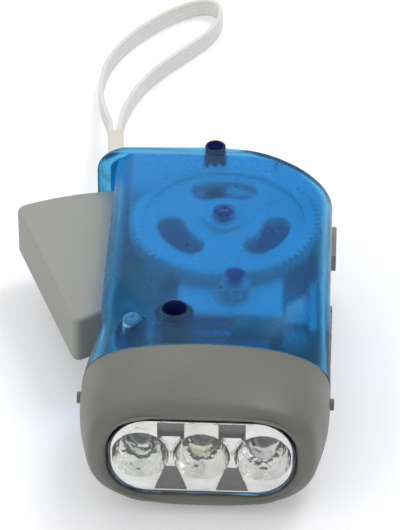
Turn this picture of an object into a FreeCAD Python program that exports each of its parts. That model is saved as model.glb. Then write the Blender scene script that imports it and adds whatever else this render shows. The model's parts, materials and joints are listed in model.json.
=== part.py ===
"""Squeeze-lever dynamo torch: translucent case, grey head and lever, gear train, generator, wrist strap."""
import FreeCAD
import Part
import math
import os

from FreeCAD import Placement, Rotation, Vector

doc = FreeCAD.newDocument("SqueezeTorch")
sheet = doc.addObject("Spreadsheet::Sheet", "Sizes")

# Driving dimensions in millimetres and degrees.
# The layout frame has y = 0 at the crown of the seam between head and case, z = 0 on the underside.
SIZES = {
    # case halves
    "case_side_right": 26.6,
    "case_thickness": 31.2,
    "case_wall": 1.8,
    "case_edge_round": 5.0,
    "case_tail": 78.0,
    "tail_corner_right": 20.0,
    "tail_corner_left": 6.5,
    "nose_side": 28.3,
    "nose_length": 6.4,
    "waist": 23.9,
    "flare_start": 2.0,
    "flare_end": 17.0,
    "blend_end": 26.0,
    "seam_round_across": 24.0,
    "seam_round_up": 15.1,
    "seam_bow": 4.0,
    "seam_gap": 0.15,
    "slot_front": 12.5,
    "slot_clearance": 0.5,
    "boss_radius": 2.6,
    "pivot_boss_radius": 3.4,
    "fit_gap": 0.3,
    "running_clearance": 0.05,
    # head and lamps
    "head_length": 20.4,
    "head_wall": 1.8,
    "head_side": 27.2,
    "window_half_width": 20.4,
    "window_half_height": 10.4,
    "window_corner": 9.0,
    "lens_setback": 4.0,
    "lens_thickness": 1.6,
    "cup_pitch": 13.1,
    "cup_mouth_radius": 6.3,
    "cup_throat_radius": 2.9,
    "cup_depth": 8.0,
    "cup_wall": 0.8,
    "led_radius": 2.5,
    "led_length": 8.0,
    "led_flange_radius": 2.9,
    "led_board_thickness": 1.4,
    "pip_radius": 1.3,
    "pip_proud": 0.8,
    # squeeze lever and its spring
    "lever_thickness": 11.8,
    "lever_tail_radius": 61.0,
    "lever_outer_tail_x": 46.0,
    "lever_outer_tail_y": 60.5,
    "lever_nose_x": 30.1,
    "lever_nose_y": 19.3,
    "lever_inner_x": 21.9,
    "lever_corner_round": 2.6,
    "lever_edge_round": 0.8,
    "lever_hub_top": 19.4,
    "pivot_pin_radius": 2.0,
    "pivot_hub_radius": 4.4,
    "sector_bottom": 13.0,
    "sector_thickness": 3.5,
    "sector_rim_width": 5.0,
    "spoke_bearing": 82.0,
    "spring_wire": 0.8,
    "spring_gap": 0.45,
    "spring_full_turns": 3,
    "spring_peg_radius": 1.2,
    "spring_peg_rise": 1.7,
    # gear train
    "axle_x": 2.0,
    "axle_y": 50.8,
    "axle_radius": 1.5,
    "drive_module": 1.0,
    "sector_full_teeth": 81,
    "sector_teeth": 7,
    "drive_pinion_teeth": 9,
    "drive_pinion_height": 5.6,
    "pinion_bottom": 12.0,
    "pivot_bearing_angle": 65.8,
    "fly_module": 0.6,
    "fly_teeth": 71,
    "fly_bottom": 24.5,
    "fly_rim_thickness": 3.0,
    "fly_web_thickness": 1.8,
    "fly_hub_radius": 4.4,
    "rotor_pinion_teeth": 10,
    "rotor_pinion_height": 3.4,
    "rotor_bearing_angle": 277.9,
    "rotor_top": 28.3,
    "kidney_inner": 8.8,
    "kidney_outer": 15.4,
    "kidney_half_angle": 21.0,
    "kidney_bearing": 92.0,
    "ratchet_outer": 7.4,
    "ratchet_depth": 0.7,
    "ratchet_teeth": 12,
    "pawl_thickness": 1.5,
    "pawl_gap": 0.35,
    # generator
    "magnet_radius": 5.4,
    "magnet_length": 4.0,
    "pole_gap": 0.5,
    "rotor_axle_radius": 1.0,
    "winding_width": 9.0,
    "base_thickness": 1.0,
    "cover_thickness": 1.3,
    "generator_width": 14.0,
    "generator_bottom": 17.0,
    "generator_top": 23.9,
    "generator_reach_left": 12.6,
    "generator_reach_right": 10.6,
    # cells, switch and lever lock
    "cell_radius": 5.8,
    "cell_thickness": 5.2,
    "cell_gap": 0.4,
    "cell_x": 16.5,
    "cell_y": 12.0,
    "cell_height": 15.2,
    "switch_y": 19.0,
    "switch_length": 18.0,
    "switch_height": 10.6,
    "switch_travel": 5.0,
    "switch_body_thickness": 1.8,
    "knob_proud": 0.5,
    "lock_y": 51.6,
    "lock_reach": 5.3,
    "lock_length": 11.4,
    "lock_travel": 5.0,
    "lock_height": 4.4,
    "lock_proud": 1.1,
    # case screws
    "screw_head_radius": 2.3,
    "screw_shank_radius": 1.1,
    "front_screw_x": -7.3,
    "front_screw_y": 12.7,
    "front_recess_radius": 3.1,
    "screw_seat": 19.5,
    "tail_screw_x": -1.0,
    "tail_screw_y": 75.6,
    "tail_recess_radius": 2.1,
    "tail_screw_seat": 22.0,
    # wrist strap
    "strap_height": 13.6,
    "strap_bar_width": 1.6,
    "strap_hole_width": 2.0,
    "strap_hole_height": 3.4,
    "string_radius": 0.6,
    "ferrule_x": -24.0,
    "ferrule_y": 92.5,
    "ferrule_width": 3.8,
    "ferrule_length": 11.0,
    "ferrule_height": 6.0,
    "band_width": 5.0,
    "band_thickness": 1.2,
}
for row, (alias, value) in enumerate(SIZES.items(), start=1):
    sheet.set(f"A{row}", alias)
    sheet.set(f"B{row}", str(value))
    sheet.setAlias(f"B{row}", alias)
doc.recompute()


def size(alias):
    """Value of one driving dimension."""
    return float(getattr(sheet, alias))


# Places worked out from the driving dimensions
thickness = size("case_thickness")
mid = thickness / 2
wall = size("case_wall")
tail = size("case_tail")
head_front = -size("head_length")
origin_y = (tail + head_front) / 2
clearance = size("running_clearance")
fit_gap = size("fit_gap")
axle = Vector(size("axle_x"), size("axle_y"), 0)


def polar(radius, degrees, centre=Vector(0, 0, 0)):
    """Point at a radius and angle from a centre, in plan."""
    turn = math.radians(degrees)
    return centre + Vector(radius * math.cos(turn), radius * math.sin(turn), 0)


drive_distance = size("drive_module") * (size("sector_full_teeth") + size("drive_pinion_teeth")) / 2
pivot = polar(-drive_distance, size("pivot_bearing_angle"), axle)
rotor_distance = size("fly_module") * (size("fly_teeth") + size("rotor_pinion_teeth")) / 2
rotor = polar(rotor_distance, size("rotor_bearing_angle"), axle)
sub_parts = []


def add_feature(name, shape):
    """A document object that holds a computed shape."""
    feature = doc.addObject("Part::Feature", name)
    feature.Shape = shape
    return feature


def finish(label, source):
    """Name a sub-part and stand it in the object's own frame."""
    source.Label = label
    source.Placement = Placement(Vector(0, -origin_y, 0), Rotation()).multiply(source.Placement)
    sub_parts.append(source)
    return source


def bind(feature, **expressions):
    """Tie properties of a feature to the size sheet; __ stands for a dot in a property's path."""
    for path, expression in expressions.items():
        feature.setExpression(path.replace("__", "."), str(expression))
    return feature


def cylinder(name, radius, height, base, axis=Vector(0, 0, 1)):
    """Part cylinder whose radius and height follow sheet expressions."""
    feature = doc.addObject("Part::Cylinder", name)
    bind(feature, Radius=radius, Height=height)
    feature.Placement = Placement(base, Rotation(Vector(0, 0, 1), axis))
    return feature


def block(name, length, width, height, corner):
    """Part box whose sides follow sheet expressions."""
    feature = doc.addObject("Part::Box", name)
    bind(feature, Length=length, Width=width, Height=height)
    feature.Placement = Placement(corner, Rotation())
    return feature


def fused(name, pieces):
    """Union of several document objects."""
    feature = doc.addObject("Part::MultiFuse", name)
    feature.Shapes = pieces
    return feature


def cut(name, base, tools):
    """Base object less one tool or the union of several."""
    feature = doc.addObject("Part::Cut", name)
    feature.Base = base
    feature.Tool = tools[0] if len(tools) == 1 else fused(name + "_tools", tools)
    return feature


def common(name, first, second):
    """Intersection of two document objects."""
    feature = doc.addObject("Part::Common", name)
    feature.Base = first
    feature.Tool = second
    return feature


def plan_pad(name, outlines, bottom, height):
    """PartDesign body: one sketch of closed outlines on the XY plane, padded by a sheet expression."""
    body = doc.addObject("PartDesign::Body", name)
    sketch = body.newObject("Sketcher::SketchObject", name + "_sketch")
    plane = next(f for f in body.Origin.OriginFeatures if f.Role == "XY_Plane")
    sketch.AttachmentSupport = [(plane, "")]
    sketch.MapMode = "FlatFace"
    sketch.AttachmentOffset = Placement(Vector(0, 0, bottom), Rotation())
    for outline in outlines:
        sketch.addGeometry(outline, False)
    pad = body.newObject("PartDesign::Pad", name + "_pad")
    pad.Profile = sketch
    pad.setExpression("Length", str(height))
    body.Tip = pad
    return body


def segments(points):
    """Closed loop of straight segments through points."""
    return [
        Part.LineSegment(point, points[(index + 1) % len(points)])
        for index, point in enumerate(points)
    ]


def circle(radius, centre):
    """Sketch circle in plan."""
    return [Part.Circle(Vector(centre.x, centre.y, 0), Vector(0, 0, 1), radius)]


def superellipse(y, half_x, half_z, power, points=28):
    """Closed rounded section across the torch at y, a spline through one formula."""
    ring = []
    for index in range(points):
        turn = 2 * math.pi * (index + 0.5) / points
        along, up = math.cos(turn), math.sin(turn)
        ring.append(
            Vector(
                half_x * math.copysign(abs(along) ** (2 / power), along),
                y,
                mid + half_z * math.copysign(abs(up) ** (2 / power), up),
            )
        )
    curve = Part.BSplineCurve()
    curve.interpolate(ring, PeriodicFlag=True)
    return Part.Wire([curve.toShape()])


def section_loft(sections):
    """Solid lofted through superellipse sections given as (y, half_x, half_z, power)."""
    return Part.makeLoft([superellipse(*section) for section in sections], True, False)


def head_sections(inset):
    """Head sections from behind the seam to the rounded front rim, drawn in by a wall."""
    side = size("head_side")
    length = size("head_length")
    return [
        (y, half_x - inset, half_z - inset, power)
        for y, half_x, half_z, power in (
            (size("seam_bow") + 4, side - 0.1, mid - 0.05, 2.15),
            (0, side, mid - 0.05, 2.2),
            (-0.45 * length, side - 0.3, mid - 0.25, 2.4),
            (-0.8 * length, side - 1.9, mid - 1.1, 2.7),
            (-0.93 * length, side - 3.1, mid - 2.0, 2.8),
            (-length, side - 5.2, mid - 3.9, 2.8),
        )
    ]


def rounded_prism(outline, bottom, height, radius):
    """Prism over a plan outline with both rims rounded."""
    prism = Part.Face(Part.Wire(outline)).extrude(Vector(0, 0, height))
    prism.translate(Vector(0, 0, bottom))
    rims = [
        edge
        for edge in prism.Edges
        if max(abs(v.Z - bottom) for v in edge.Vertexes) < 1e-6
        or max(abs(v.Z - bottom - height) for v in edge.Vertexes) < 1e-6
    ]
    return prism.makeFillet(radius, rims)


def full_outline(inset):
    """Tail end of the case in plan, with its lever side not yet drawn in."""
    right = size("case_side_right") - inset
    corner = size("tail_corner_right") - inset
    end = tail - inset
    nose = size("nose_side") - inset
    nose_round = size("tail_corner_left")
    front = size("blend_end") - 2 * size("case_edge_round")
    start = Vector(right, front, 0)
    right_end = Vector(right, end - corner, 0)
    tail_start = Vector(right - corner, end, 0)
    tail_end = Vector(-nose + nose_round, end, 0)
    left_start = Vector(-nose, end - nose_round, 0)
    left_end = Vector(-nose, front, 0)
    return [
        Part.LineSegment(start, right_end).toShape(),
        Part.Arc(
            right_end,
            polar(corner, 45, Vector(right - corner, end - corner, 0)),
            tail_start,
        ).toShape(),
        Part.LineSegment(tail_start, tail_end).toShape(),
        Part.Arc(
            tail_end,
            polar(nose_round, 135, Vector(-nose + nose_round, end - nose_round, 0)),
            left_start,
        ).toShape(),
        Part.LineSegment(left_start, left_end).toShape(),
        Part.LineSegment(left_end, start).toShape(),
    ]


def waist_outline(inset):
    """Wide outline whose left side is the straight wall behind the lever."""
    waist = -size("waist") + inset
    front = size("blend_end") - 3 * size("case_edge_round")
    beyond = 20
    far_side = size("case_side_right") + beyond
    corners = [
        Vector(waist, front, 0),
        Vector(waist, tail + beyond, 0),
        Vector(far_side, tail + beyond, 0),
        Vector(far_side, front, 0),
    ]
    return [
        Part.LineSegment(start, corners[(index + 1) % 4]).toShape()
        for index, start in enumerate(corners)
    ]


def smooth(start, end, value):
    """Share from 0 to 1, level at both ends, of a value's way from start to end."""
    share = min(max((value - start) / (end - start), 0), 1)
    return share * share * (3 - 2 * share)


def corner_curve(start, corner, end):
    """Quarter of an ellipse between two points, bulging toward a corner."""
    curve = Part.BezierCurve()
    curve.setPoles([start, corner, end])
    curve.setWeight(2, math.sqrt(0.5))
    return curve.toShape()


def case_section(y, inset):
    """Section of the case at y: nearly oval at the seam, square with small rounds at blend_end."""
    boxy = smooth(0, size("blend_end"), y)
    drawn_in = smooth(size("flare_start"), size("flare_end"), y)
    side = size("head_side")
    left = -side + drawn_in * (side - size("waist")) + inset
    right = side + boxy * (size("case_side_right") - side) - inset
    low, high = inset, thickness - inset
    edge = size("case_edge_round") - 0.8 * inset
    across = edge + (1 - boxy) * (size("seam_round_across") - size("case_edge_round"))
    rise = edge + (1 - boxy) * (size("seam_round_up") - size("case_edge_round"))

    def at(x, z):
        return Vector(x, y, z)

    return Part.Wire(
        [
            Part.LineSegment(at(left + across, low), at(right - across, low)).toShape(),
            corner_curve(at(right - across, low), at(right, low), at(right, low + rise)),
            Part.LineSegment(at(right, low + rise), at(right, high - rise)).toShape(),
            corner_curve(at(right, high - rise), at(right, high), at(right - across, high)),
            Part.LineSegment(at(right - across, high), at(left + across, high)).toShape(),
            corner_curve(at(left + across, high), at(left, high), at(left, high - rise)),
            Part.LineSegment(at(left, high - rise), at(left, low + rise)).toShape(),
            corner_curve(at(left, low + rise), at(left, low), at(left + across, low)),
        ]
    )


def case_form(inset):
    """Case body: lofted shoulder from the seam to blend_end, then a rounded prism to the tail."""
    height = thickness - 2 * inset
    edge = size("case_edge_round") - 0.8 * inset
    blend_end = size("blend_end")
    body = rounded_prism(full_outline(inset), inset, height, edge)
    waist_form = rounded_prism(waist_outline(inset), inset, height, edge)
    nose_line = tail - size("nose_length") + inset
    region = Part.makeBox(40, nose_line + 60, height, Vector(-55, -60, inset))
    body = body.cut(region.cut(waist_form))
    body = body.common(Part.makeBox(120, tail, thickness, Vector(-60, blend_end, 0)))
    depths = [-14, -5, 0, *(blend_end * step / 8 for step in range(1, 9))]
    shoulder = Part.makeLoft([case_section(y, inset) for y in depths], True, False)
    return shoulder.fuse(body).removeSplitter()


def seam_form(gap):
    """Round-backed block in front of the seam; its back bows toward the tail at the sides."""
    bow = size("seam_bow")
    radius = (mid ** 2 + bow ** 2) / (2 * bow) + gap
    centre = Vector(-60, bow - radius + gap, mid)
    return Part.makeCylinder(radius, 120, centre, Vector(1, 0, 0))


# Case halves

outer_form = add_feature("outer_form", case_form(0))
inner_form = add_feature("inner_form", case_form(wall))
seam_cutter = add_feature("seam_cutter", seam_form(size("seam_gap")))
case_skin = cut("case_skin", outer_form, [inner_form, seam_cutter])
lever_low = mid - size("lever_thickness") / 2
slot_low = lever_low - size("slot_clearance")
slot = block(
    "lever_slot",
    20,
    "Sizes.case_tail - Sizes.nose_length - Sizes.slot_front",
    "Sizes.lever_thickness + 2 * Sizes.slot_clearance",
    Vector(-38, size("slot_front"), slot_low),
)
switch_window = block(
    "switch_window",
    10,
    "Sizes.switch_length",
    "Sizes.switch_height",
    Vector(20, size("switch_y"), mid - size("switch_height") / 2),
)
lock_window = block(
    "lock_window",
    10,
    "Sizes.lock_length + Sizes.lock_travel + 2 * Sizes.fit_gap",
    "Sizes.lock_height + 2 * Sizes.fit_gap",
    Vector(20, size("lock_y") - size("lock_travel") - fit_gap, mid - size("lock_height") / 2 - fit_gap),
)
strap_bar = Vector(-23.1, tail, size("strap_height"))
hole_width = size("strap_hole_width")
strap_windows = [
    block(
        f"strap_window_{side_name}",
        "Sizes.strap_hole_width",
        6,
        "Sizes.strap_hole_height",
        Vector(left, tail - 4, strap_bar.z - size("strap_hole_height") / 2),
    )
    for side_name, left in (
        ("left", strap_bar.x - size("strap_bar_width") / 2 - hole_width),
        ("right", strap_bar.x + size("strap_bar_width") / 2),
    )
]
strap_hollow = block(
    "strap_hollow",
    "Sizes.strap_bar_width + 2 * Sizes.strap_hole_width",
    "6 - Sizes.case_wall",
    "Sizes.strap_hole_height",
    Vector(
        strap_bar.x - size("strap_bar_width") / 2 - hole_width,
        tail - 6,
        strap_bar.z - size("strap_hole_height") / 2,
    ),
)
case_windows = [slot, switch_window, lock_window, *strap_windows, strap_hollow]
skin_open = cut("skin_open", case_skin, case_windows)

half_space = Vector(-60, -30, 0)
upper_space = block("upper_space", 120, 140, mid, half_space + Vector(0, 0, mid))
lower_space = block("lower_space", 120, 140, mid, half_space)


def upright(name, radius, centre, bottom, top):
    """Round boss, post or bore between two heights."""
    return cylinder(name, radius, top - bottom, Vector(centre.x, centre.y, bottom))


front_screw = Vector(size("front_screw_x"), size("front_screw_y"), 0)
tail_screw = Vector(size("tail_screw_x"), size("tail_screw_y"), 0)
roof = thickness - wall + 0.4
hub_top = size("fly_bottom") + size("fly_rim_thickness") + 0.6
seat = size("screw_seat")
tail_seat = size("tail_screw_seat")
lever_hub_bottom = lever_low + 0.2
lever_hub_top = size("lever_hub_top")
rotor_top = size("rotor_top")

upper_bosses = [
    upright("fly_boss", "Sizes.boss_radius", axle, hub_top + fit_gap, roof),
    upright("rotor_boss", "Sizes.boss_radius - 0.2", rotor, rotor_top + fit_gap, roof),
    upright("pivot_boss", "Sizes.pivot_boss_radius", pivot, lever_hub_top + fit_gap, roof),
    upright("front_sleeve", "Sizes.front_recess_radius + 1.1", front_screw, seat - 1.6, roof),
    upright("tail_sleeve", "Sizes.tail_recess_radius + 0.6", tail_screw, tail_seat - 1.5, roof),
    block("cross_rib", 9, 1, 4, Vector(front_screw.x + 3.6, front_screw.y - 2.6, roof - 4)),
    block("tail_rib", 1, 5, 3, Vector(13.0, tail - 6.5, roof - 3)),
]
upper_holes = [
    upright("fly_socket", "Sizes.axle_radius + 0.02", axle, hub_top - 1, thickness - 0.9),
    upright("rotor_socket", "Sizes.rotor_axle_radius + 0.02", rotor, rotor_top - 1, thickness - 0.9),
    upright("pivot_socket", "Sizes.pivot_pin_radius + 0.02", pivot, lever_hub_top - 1, thickness - 1.4),
    upright("front_recess", "Sizes.front_recess_radius", front_screw, seat, thickness + 2),
    upright("front_screw_way", "Sizes.screw_shank_radius + 0.2", front_screw, seat - 3, thickness),
    upright("tail_recess", "Sizes.tail_recess_radius", tail_screw, tail_seat, thickness + 2),
    upright("tail_screw_way", "Sizes.screw_shank_radius + 0.2", tail_screw, mid - 1, thickness),
]
upper_frame = common("upper_frame", fused("upper_bosses", upper_bosses), outer_form)
upper_skin = common("upper_skin", skin_open, upper_space)
upper_raw = fused("upper_raw", [upper_skin, upper_frame])
finish("upper_shell", cut("upper_shell", upper_raw, upper_holes))

pinion_bottom = size("pinion_bottom")
generator_bottom = size("generator_bottom")
generator_left = rotor.x - size("generator_reach_left")
generator_right = rotor.x + size("generator_reach_right")
generator_front = rotor.y - size("generator_width") / 2
generator_back = rotor.y + size("generator_width") / 2
post_inset = 1.5
generator_posts = [
    Vector(generator_right - post_inset, generator_front + post_inset, 0),
    Vector(generator_right - post_inset, generator_back - post_inset, 0),
    Vector(generator_left + post_inset, generator_front + post_inset, 0),
]
floor = wall - 0.4
lower_posts = [
    upright("fly_post", "Sizes.axle_radius + 1.7", axle, floor, pinion_bottom - fit_gap),
    upright("pivot_post", "Sizes.pivot_pin_radius + 1.4", pivot, floor, lever_hub_bottom - fit_gap),
    upright("front_post", "Sizes.front_recess_radius - 0.2", front_screw, floor, seat - 1.6),
    upright("tail_post", "Sizes.tail_recess_radius + 0.6", tail_screw, floor, tail_seat - 1.5),
    *[
        upright(f"generator_post_{number}", 1.3, place, floor, generator_bottom)
        for number, place in enumerate(generator_posts, start=1)
    ],
]
socket_floor = 3.0
lower_holes = [
    upright("fly_seat", "Sizes.axle_radius + 0.02", axle, socket_floor, thickness),
    upright("pivot_seat", "Sizes.pivot_pin_radius + 0.02", pivot, socket_floor, thickness),
    upright("front_pilot", "Sizes.screw_shank_radius + 0.02", front_screw, socket_floor + 4, thickness),
    upright("tail_pilot", "Sizes.screw_shank_radius + 0.02", tail_screw, socket_floor + 6, thickness),
]
lower_pillars = common("lower_pillars", fused("lower_posts", lower_posts), outer_form)
lower_frame = cut("lower_frame", lower_pillars, [upper_skin])
lower_skin = common("lower_skin", skin_open, lower_space)
lower_raw = fused("lower_raw", [lower_skin, lower_frame])
finish("lower_shell", cut("lower_shell", lower_raw, lower_holes))

# Head: bezel, lens, reflector, lamps and their board

ledge = head_front + size("lens_setback")
head_outer = add_feature("head_outer", section_loft(head_sections(0)))
head_inner = add_feature("head_inner", section_loft(head_sections(size("head_wall"))))
head_fill = add_feature("head_fill", section_loft(head_sections(size("head_wall") + fit_gap)))
seam_face = add_feature("seam_face", seam_form(0))


def slab(name, front, depth):
    """Wide slab across the head between two depths."""
    return block(name, 80, depth, 60, Vector(-40, front, -15))


window_half = size("window_half_width")
window_high = size("window_half_height")
window_body = doc.addObject("Part::Box", "window_box")
bind(
    window_body,
    Length="2 * Sizes.window_half_width",
    Width="Sizes.lens_setback + 2",
    Height="2 * Sizes.window_half_height",
)
window_body.Placement = Placement(Vector(-window_half, head_front - 1.9, mid - window_high), Rotation())
window_cut = doc.addObject("Part::Fillet", "window_cut")
window_cut.Base = window_body
doc.recompute()
corner = size("window_corner")
window_cut.Edges = [
    (number, corner, corner)
    for number, edge in enumerate(window_body.Shape.Edges, start=1)
    if abs(edge.Vertexes[0].Y - edge.Vertexes[1].Y) > 1e-6
]
head_cavity = common("head_cavity", head_inner, slab("cavity_slab", ledge, 60))
bezel_raw = cut("bezel_raw", common("bezel_block", head_outer, seam_face), [head_cavity, window_cut])
pip_length = 3.2
pips = [
    cylinder(
        f"pip_{side_name}",
        "Sizes.pip_radius",
        pip_length,
        Vector(way * (size("head_side") + size("pip_proud")), 0, mid),
        Vector(-way, 0, 0),
    )
    for side_name, way in (("left", -1), ("right", 1))
]
pip_holes = [
    cylinder(
        f"pip_hole_{side_name}",
        "Sizes.pip_radius + 0.05",
        6,
        Vector(way * (size("head_side") + 2), 0, mid),
        Vector(-way, 0, 0),
    )
    for side_name, way in (("left", -1), ("right", 1))
]
finish("head_bezel", cut("head_bezel", bezel_raw, pip_holes))
finish("head_pins", fused("head_pins", pips))
finish("lens", common("lens", head_fill, slab("lens_slab", ledge, size("lens_thickness"))))

plate_front = ledge + size("lens_thickness")
cup_depth = size("cup_depth")
mouth = size("cup_mouth_radius")
throat = size("cup_throat_radius")
lamp_spots = [-size("cup_pitch"), 0.0, size("cup_pitch")]
lamp_names = ["left", "middle", "right"]


def cup_bowl(offset, front, back):
    """Bowl turned about the Y axis: a curved wall from the mouth to the throat."""
    rise = mouth - throat
    middle_point = Vector(throat + 0.72 * rise + offset, (front + back) / 2, 0)
    profile = Part.Wire(
        [
            Part.LineSegment(Vector(0, front, 0), Vector(mouth + offset, front, 0)).toShape(),
            Part.Arc(
                Vector(mouth + offset, front, 0), middle_point, Vector(throat + offset, back, 0)
            ).toShape(),
            Part.LineSegment(Vector(throat + offset, back, 0), Vector(0, back, 0)).toShape(),
            Part.LineSegment(Vector(0, back, 0), Vector(0, front, 0)).toShape(),
        ]
    )
    return Part.Face(profile).revolve(Vector(0, 0, 0), Vector(0, 1, 0), 360)


cup_wall = size("cup_wall")
cup_back = plate_front + cup_depth
outer_cups = []
inner_cups = []
for spot, lamp in zip(lamp_spots, lamp_names):
    shell_cup = cup_bowl(cup_wall * 0.9, plate_front, cup_back)
    shell_cup.translate(Vector(spot, 0, mid))
    outer_cups.append(add_feature(f"cup_outer_{lamp}", shell_cup))
    hollow_cup = cup_bowl(0, plate_front - 0.01, cup_back + 0.01)
    hollow_cup.translate(Vector(spot, 0, mid))
    inner_cups.append(add_feature(f"cup_inner_{lamp}", hollow_cup))
plate_slab = slab("reflector_slab", plate_front, size("cup_wall"))
reflector_plate = common("reflector_plate", head_fill, plate_slab)
finish("reflector", cut("reflector", fused("reflector_block", [reflector_plate, *outer_cups]), inner_cups))

led_radius = size("led_radius")
led_back = cup_back + 0.9
for spot, lamp in zip(lamp_spots, lamp_names):
    base = Vector(spot, led_back, mid)
    forward = Vector(0, -1, 0)
    flange = cylinder(f"led_flange_{lamp}", "Sizes.led_flange_radius", 0.8, base, forward)
    barrel = cylinder(
        f"led_barrel_{lamp}", "Sizes.led_radius", "Sizes.led_length - Sizes.led_radius", base, forward
    )
    dome = doc.addObject("Part::Sphere", f"led_dome_{lamp}")
    bind(dome, Radius="Sizes.led_radius")
    dome.Placement.Base = base + Vector(0, led_radius - size("led_length"), 0)
    legs = [
        cylinder(f"led_leg_{lamp}_{pole}", 0.25, 2.4, base + Vector(shift, -0.2, 0), Vector(0, 1, 0))
        for pole, shift in (("anode", -1.27), ("cathode", 1.27))
    ]
    finish(f"led_{lamp}", fused(f"led_{lamp}", [flange, barrel, dome, *legs]))

board_front = led_back
board = block("board_blank", 42, "Sizes.led_board_thickness", 14, Vector(-21, board_front, mid - 7))
leg_holes = [
    cylinder(f"leg_hole_{lamp}_{pole}", 0.3, 4, Vector(spot + shift, board_front - 1, mid), Vector(0, 1, 0))
    for spot, lamp in zip(lamp_spots, lamp_names)
    for pole, shift in (("anode", -1.27), ("cathode", 1.27))
]
finish("led_board", cut("led_board", board, leg_holes))

# Squeeze lever with its toothed sector

lever_thickness = size("lever_thickness")
tail_radius = size("lever_tail_radius")
nose = Vector(-size("lever_nose_x"), size("lever_nose_y"), 0)
outer_tail = Vector(-size("lever_outer_tail_x"), size("lever_outer_tail_y"), 0)
inner_x = -size("lever_inner_x")


def on_circle(start, toward, radius, centre):
    """Point where the ray from start toward a point leaves a circle about centre."""
    ray = (toward - start).normalize()
    offset = start - centre
    along = offset.dot(ray)
    reach = -along + math.sqrt(along ** 2 - offset.dot(offset) + radius ** 2)
    return start + ray * reach


def bearing(point, centre):
    """Angle of a point about a centre, in degrees."""
    return math.degrees(math.atan2(point.y - centre.y, point.x - centre.x))


def arc_through(centre, radius, first, last):
    """Arc about a centre between two bearings."""
    return Part.Arc(
        polar(radius, first, centre),
        polar(radius, (first + last) / 2, centre),
        polar(radius, last, centre),
    )


tail_outer = on_circle(nose, outer_tail, tail_radius, pivot)
tail_inner = Vector(inner_x, pivot.y + math.sqrt(tail_radius ** 2 - (inner_x - pivot.x) ** 2), 0)
front_inner = Vector(inner_x, nose.y + 5.6, 0)
lever_outline = [
    Part.LineSegment(nose, tail_outer),
    arc_through(pivot, tail_radius, bearing(tail_outer, pivot), bearing(tail_inner, pivot)),
    Part.LineSegment(tail_inner, front_inner),
    Part.LineSegment(front_inner, nose),
]
lever_grip = plan_pad("lever_grip", [lever_outline], lever_low, "Sizes.lever_thickness")


def rounded_edges(body, radius, wanted):
    """Fillet on the edges of a body's last feature that pass a test."""
    doc.recompute()
    solid = body.Tip
    names = [
        f"Edge{number}"
        for number, edge in enumerate(solid.Shape.Edges, start=1)
        if wanted(edge)
    ]
    fillet = body.newObject("PartDesign::Fillet", body.Name + "_round")
    fillet.Base = (solid, names)
    fillet.setExpression("Radius", radius)
    body.Tip = fillet
    return fillet


def upright_at(point):
    """Test for a vertical edge that stands at a plan point."""
    return lambda edge: all(
        abs(v.X - point.x) < 0.01 and abs(v.Y - point.y) < 0.01 for v in edge.Vertexes
    )


def rim_left_of(limit):
    """Test for level edges that reach left of a line across the torch."""
    return lambda edge: (
        min(v.X for v in edge.Vertexes) < limit and abs(edge.Vertexes[0].Z - edge.Vertexes[-1].Z) < 1e-6
    )


rounded_edges(lever_grip, "Sizes.lever_corner_round", upright_at(tail_outer))
rounded_edges(lever_grip, "Sizes.lever_corner_round * 0.6", upright_at(nose))
rounded_edges(lever_grip, "Sizes.lever_edge_round", rim_left_of(inner_x - 0.1))


def toothed_points(centre, module, full_teeth, first, count, start_bearing):
    """Outer line of straight-flanked teeth, from the first tooth's root around count teeth."""
    pitch_radius = module * full_teeth / 2
    tip = pitch_radius + 0.85 * module
    root = pitch_radius - 1.15 * module
    step = 360.0 / full_teeth
    half_root = 0.29 * step
    half_pitch = 0.215 * step
    half_tip = 0.10 * step
    points = []
    for index in range(first, first + count):
        middle = start_bearing + index * step
        for radius, offset in (
            (root, -half_root),
            (pitch_radius, -half_pitch),
            (tip, -half_tip),
            (tip, half_tip),
            (pitch_radius, half_pitch),
            (root, half_root),
        ):
            points.append(polar(radius, middle + offset, centre))
    return points


drive_module = size("drive_module")
sector_count = int(size("sector_full_teeth"))
line_bearing = size("pivot_bearing_angle")
sector_bottom = size("sector_bottom")
sector_root = drive_module * (sector_count / 2 - 1.15)
rim_inner = sector_root - size("sector_rim_width")
teeth = toothed_points(
    pivot, drive_module, sector_count, -1, int(size("sector_teeth")), line_bearing
)
spoke_bearing = size("spoke_bearing")
hub_radius = size("pivot_hub_radius")
sector_points = [
    polar(hub_radius * 0.9, spoke_bearing - 90, pivot),
    polar(rim_inner - 3, spoke_bearing, pivot),
    polar(rim_inner, spoke_bearing - 5, pivot),
    polar(rim_inner, bearing(teeth[0], pivot), pivot),
    *teeth,
    polar(sector_root, bearing(teeth[-1], pivot) + 4, pivot),
    Vector(inner_x - 1, pivot.y + sector_root - 1.5, 0),
    Vector(inner_x - 1, front_inner.y + 1.2, 0),
    polar(hub_radius * 0.9, 180, pivot),
]
lever_sector = plan_pad("lever_sector", [segments(sector_points)], sector_bottom, "Sizes.sector_thickness")
lever_hub = upright("lever_hub", "Sizes.pivot_hub_radius", pivot, lever_hub_bottom, lever_hub_top)
peg_spot = Vector(inner_x + 3.2, front_inner.y + 1.0, 0)
peg_top = lever_hub_top + size("spring_peg_rise")
spring_peg = upright("spring_peg", "Sizes.spring_peg_radius", peg_spot, sector_bottom + 1, peg_top)
lever_bore = upright(
    "lever_bore", "Sizes.pivot_pin_radius + Sizes.running_clearance", pivot, 0, thickness
)
lever_raw = fused("lever_raw", [lever_grip, lever_sector, lever_hub, spring_peg])
finish("squeeze_lever", cut("squeeze_lever", lever_raw, [lever_bore]))
finish(
    "lever_pivot_pin",
    upright("lever_pivot_pin", "Sizes.pivot_pin_radius", pivot, socket_floor, thickness - 1.5),
)

# Drive pinion with its pawls, flywheel, and their axle

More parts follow.
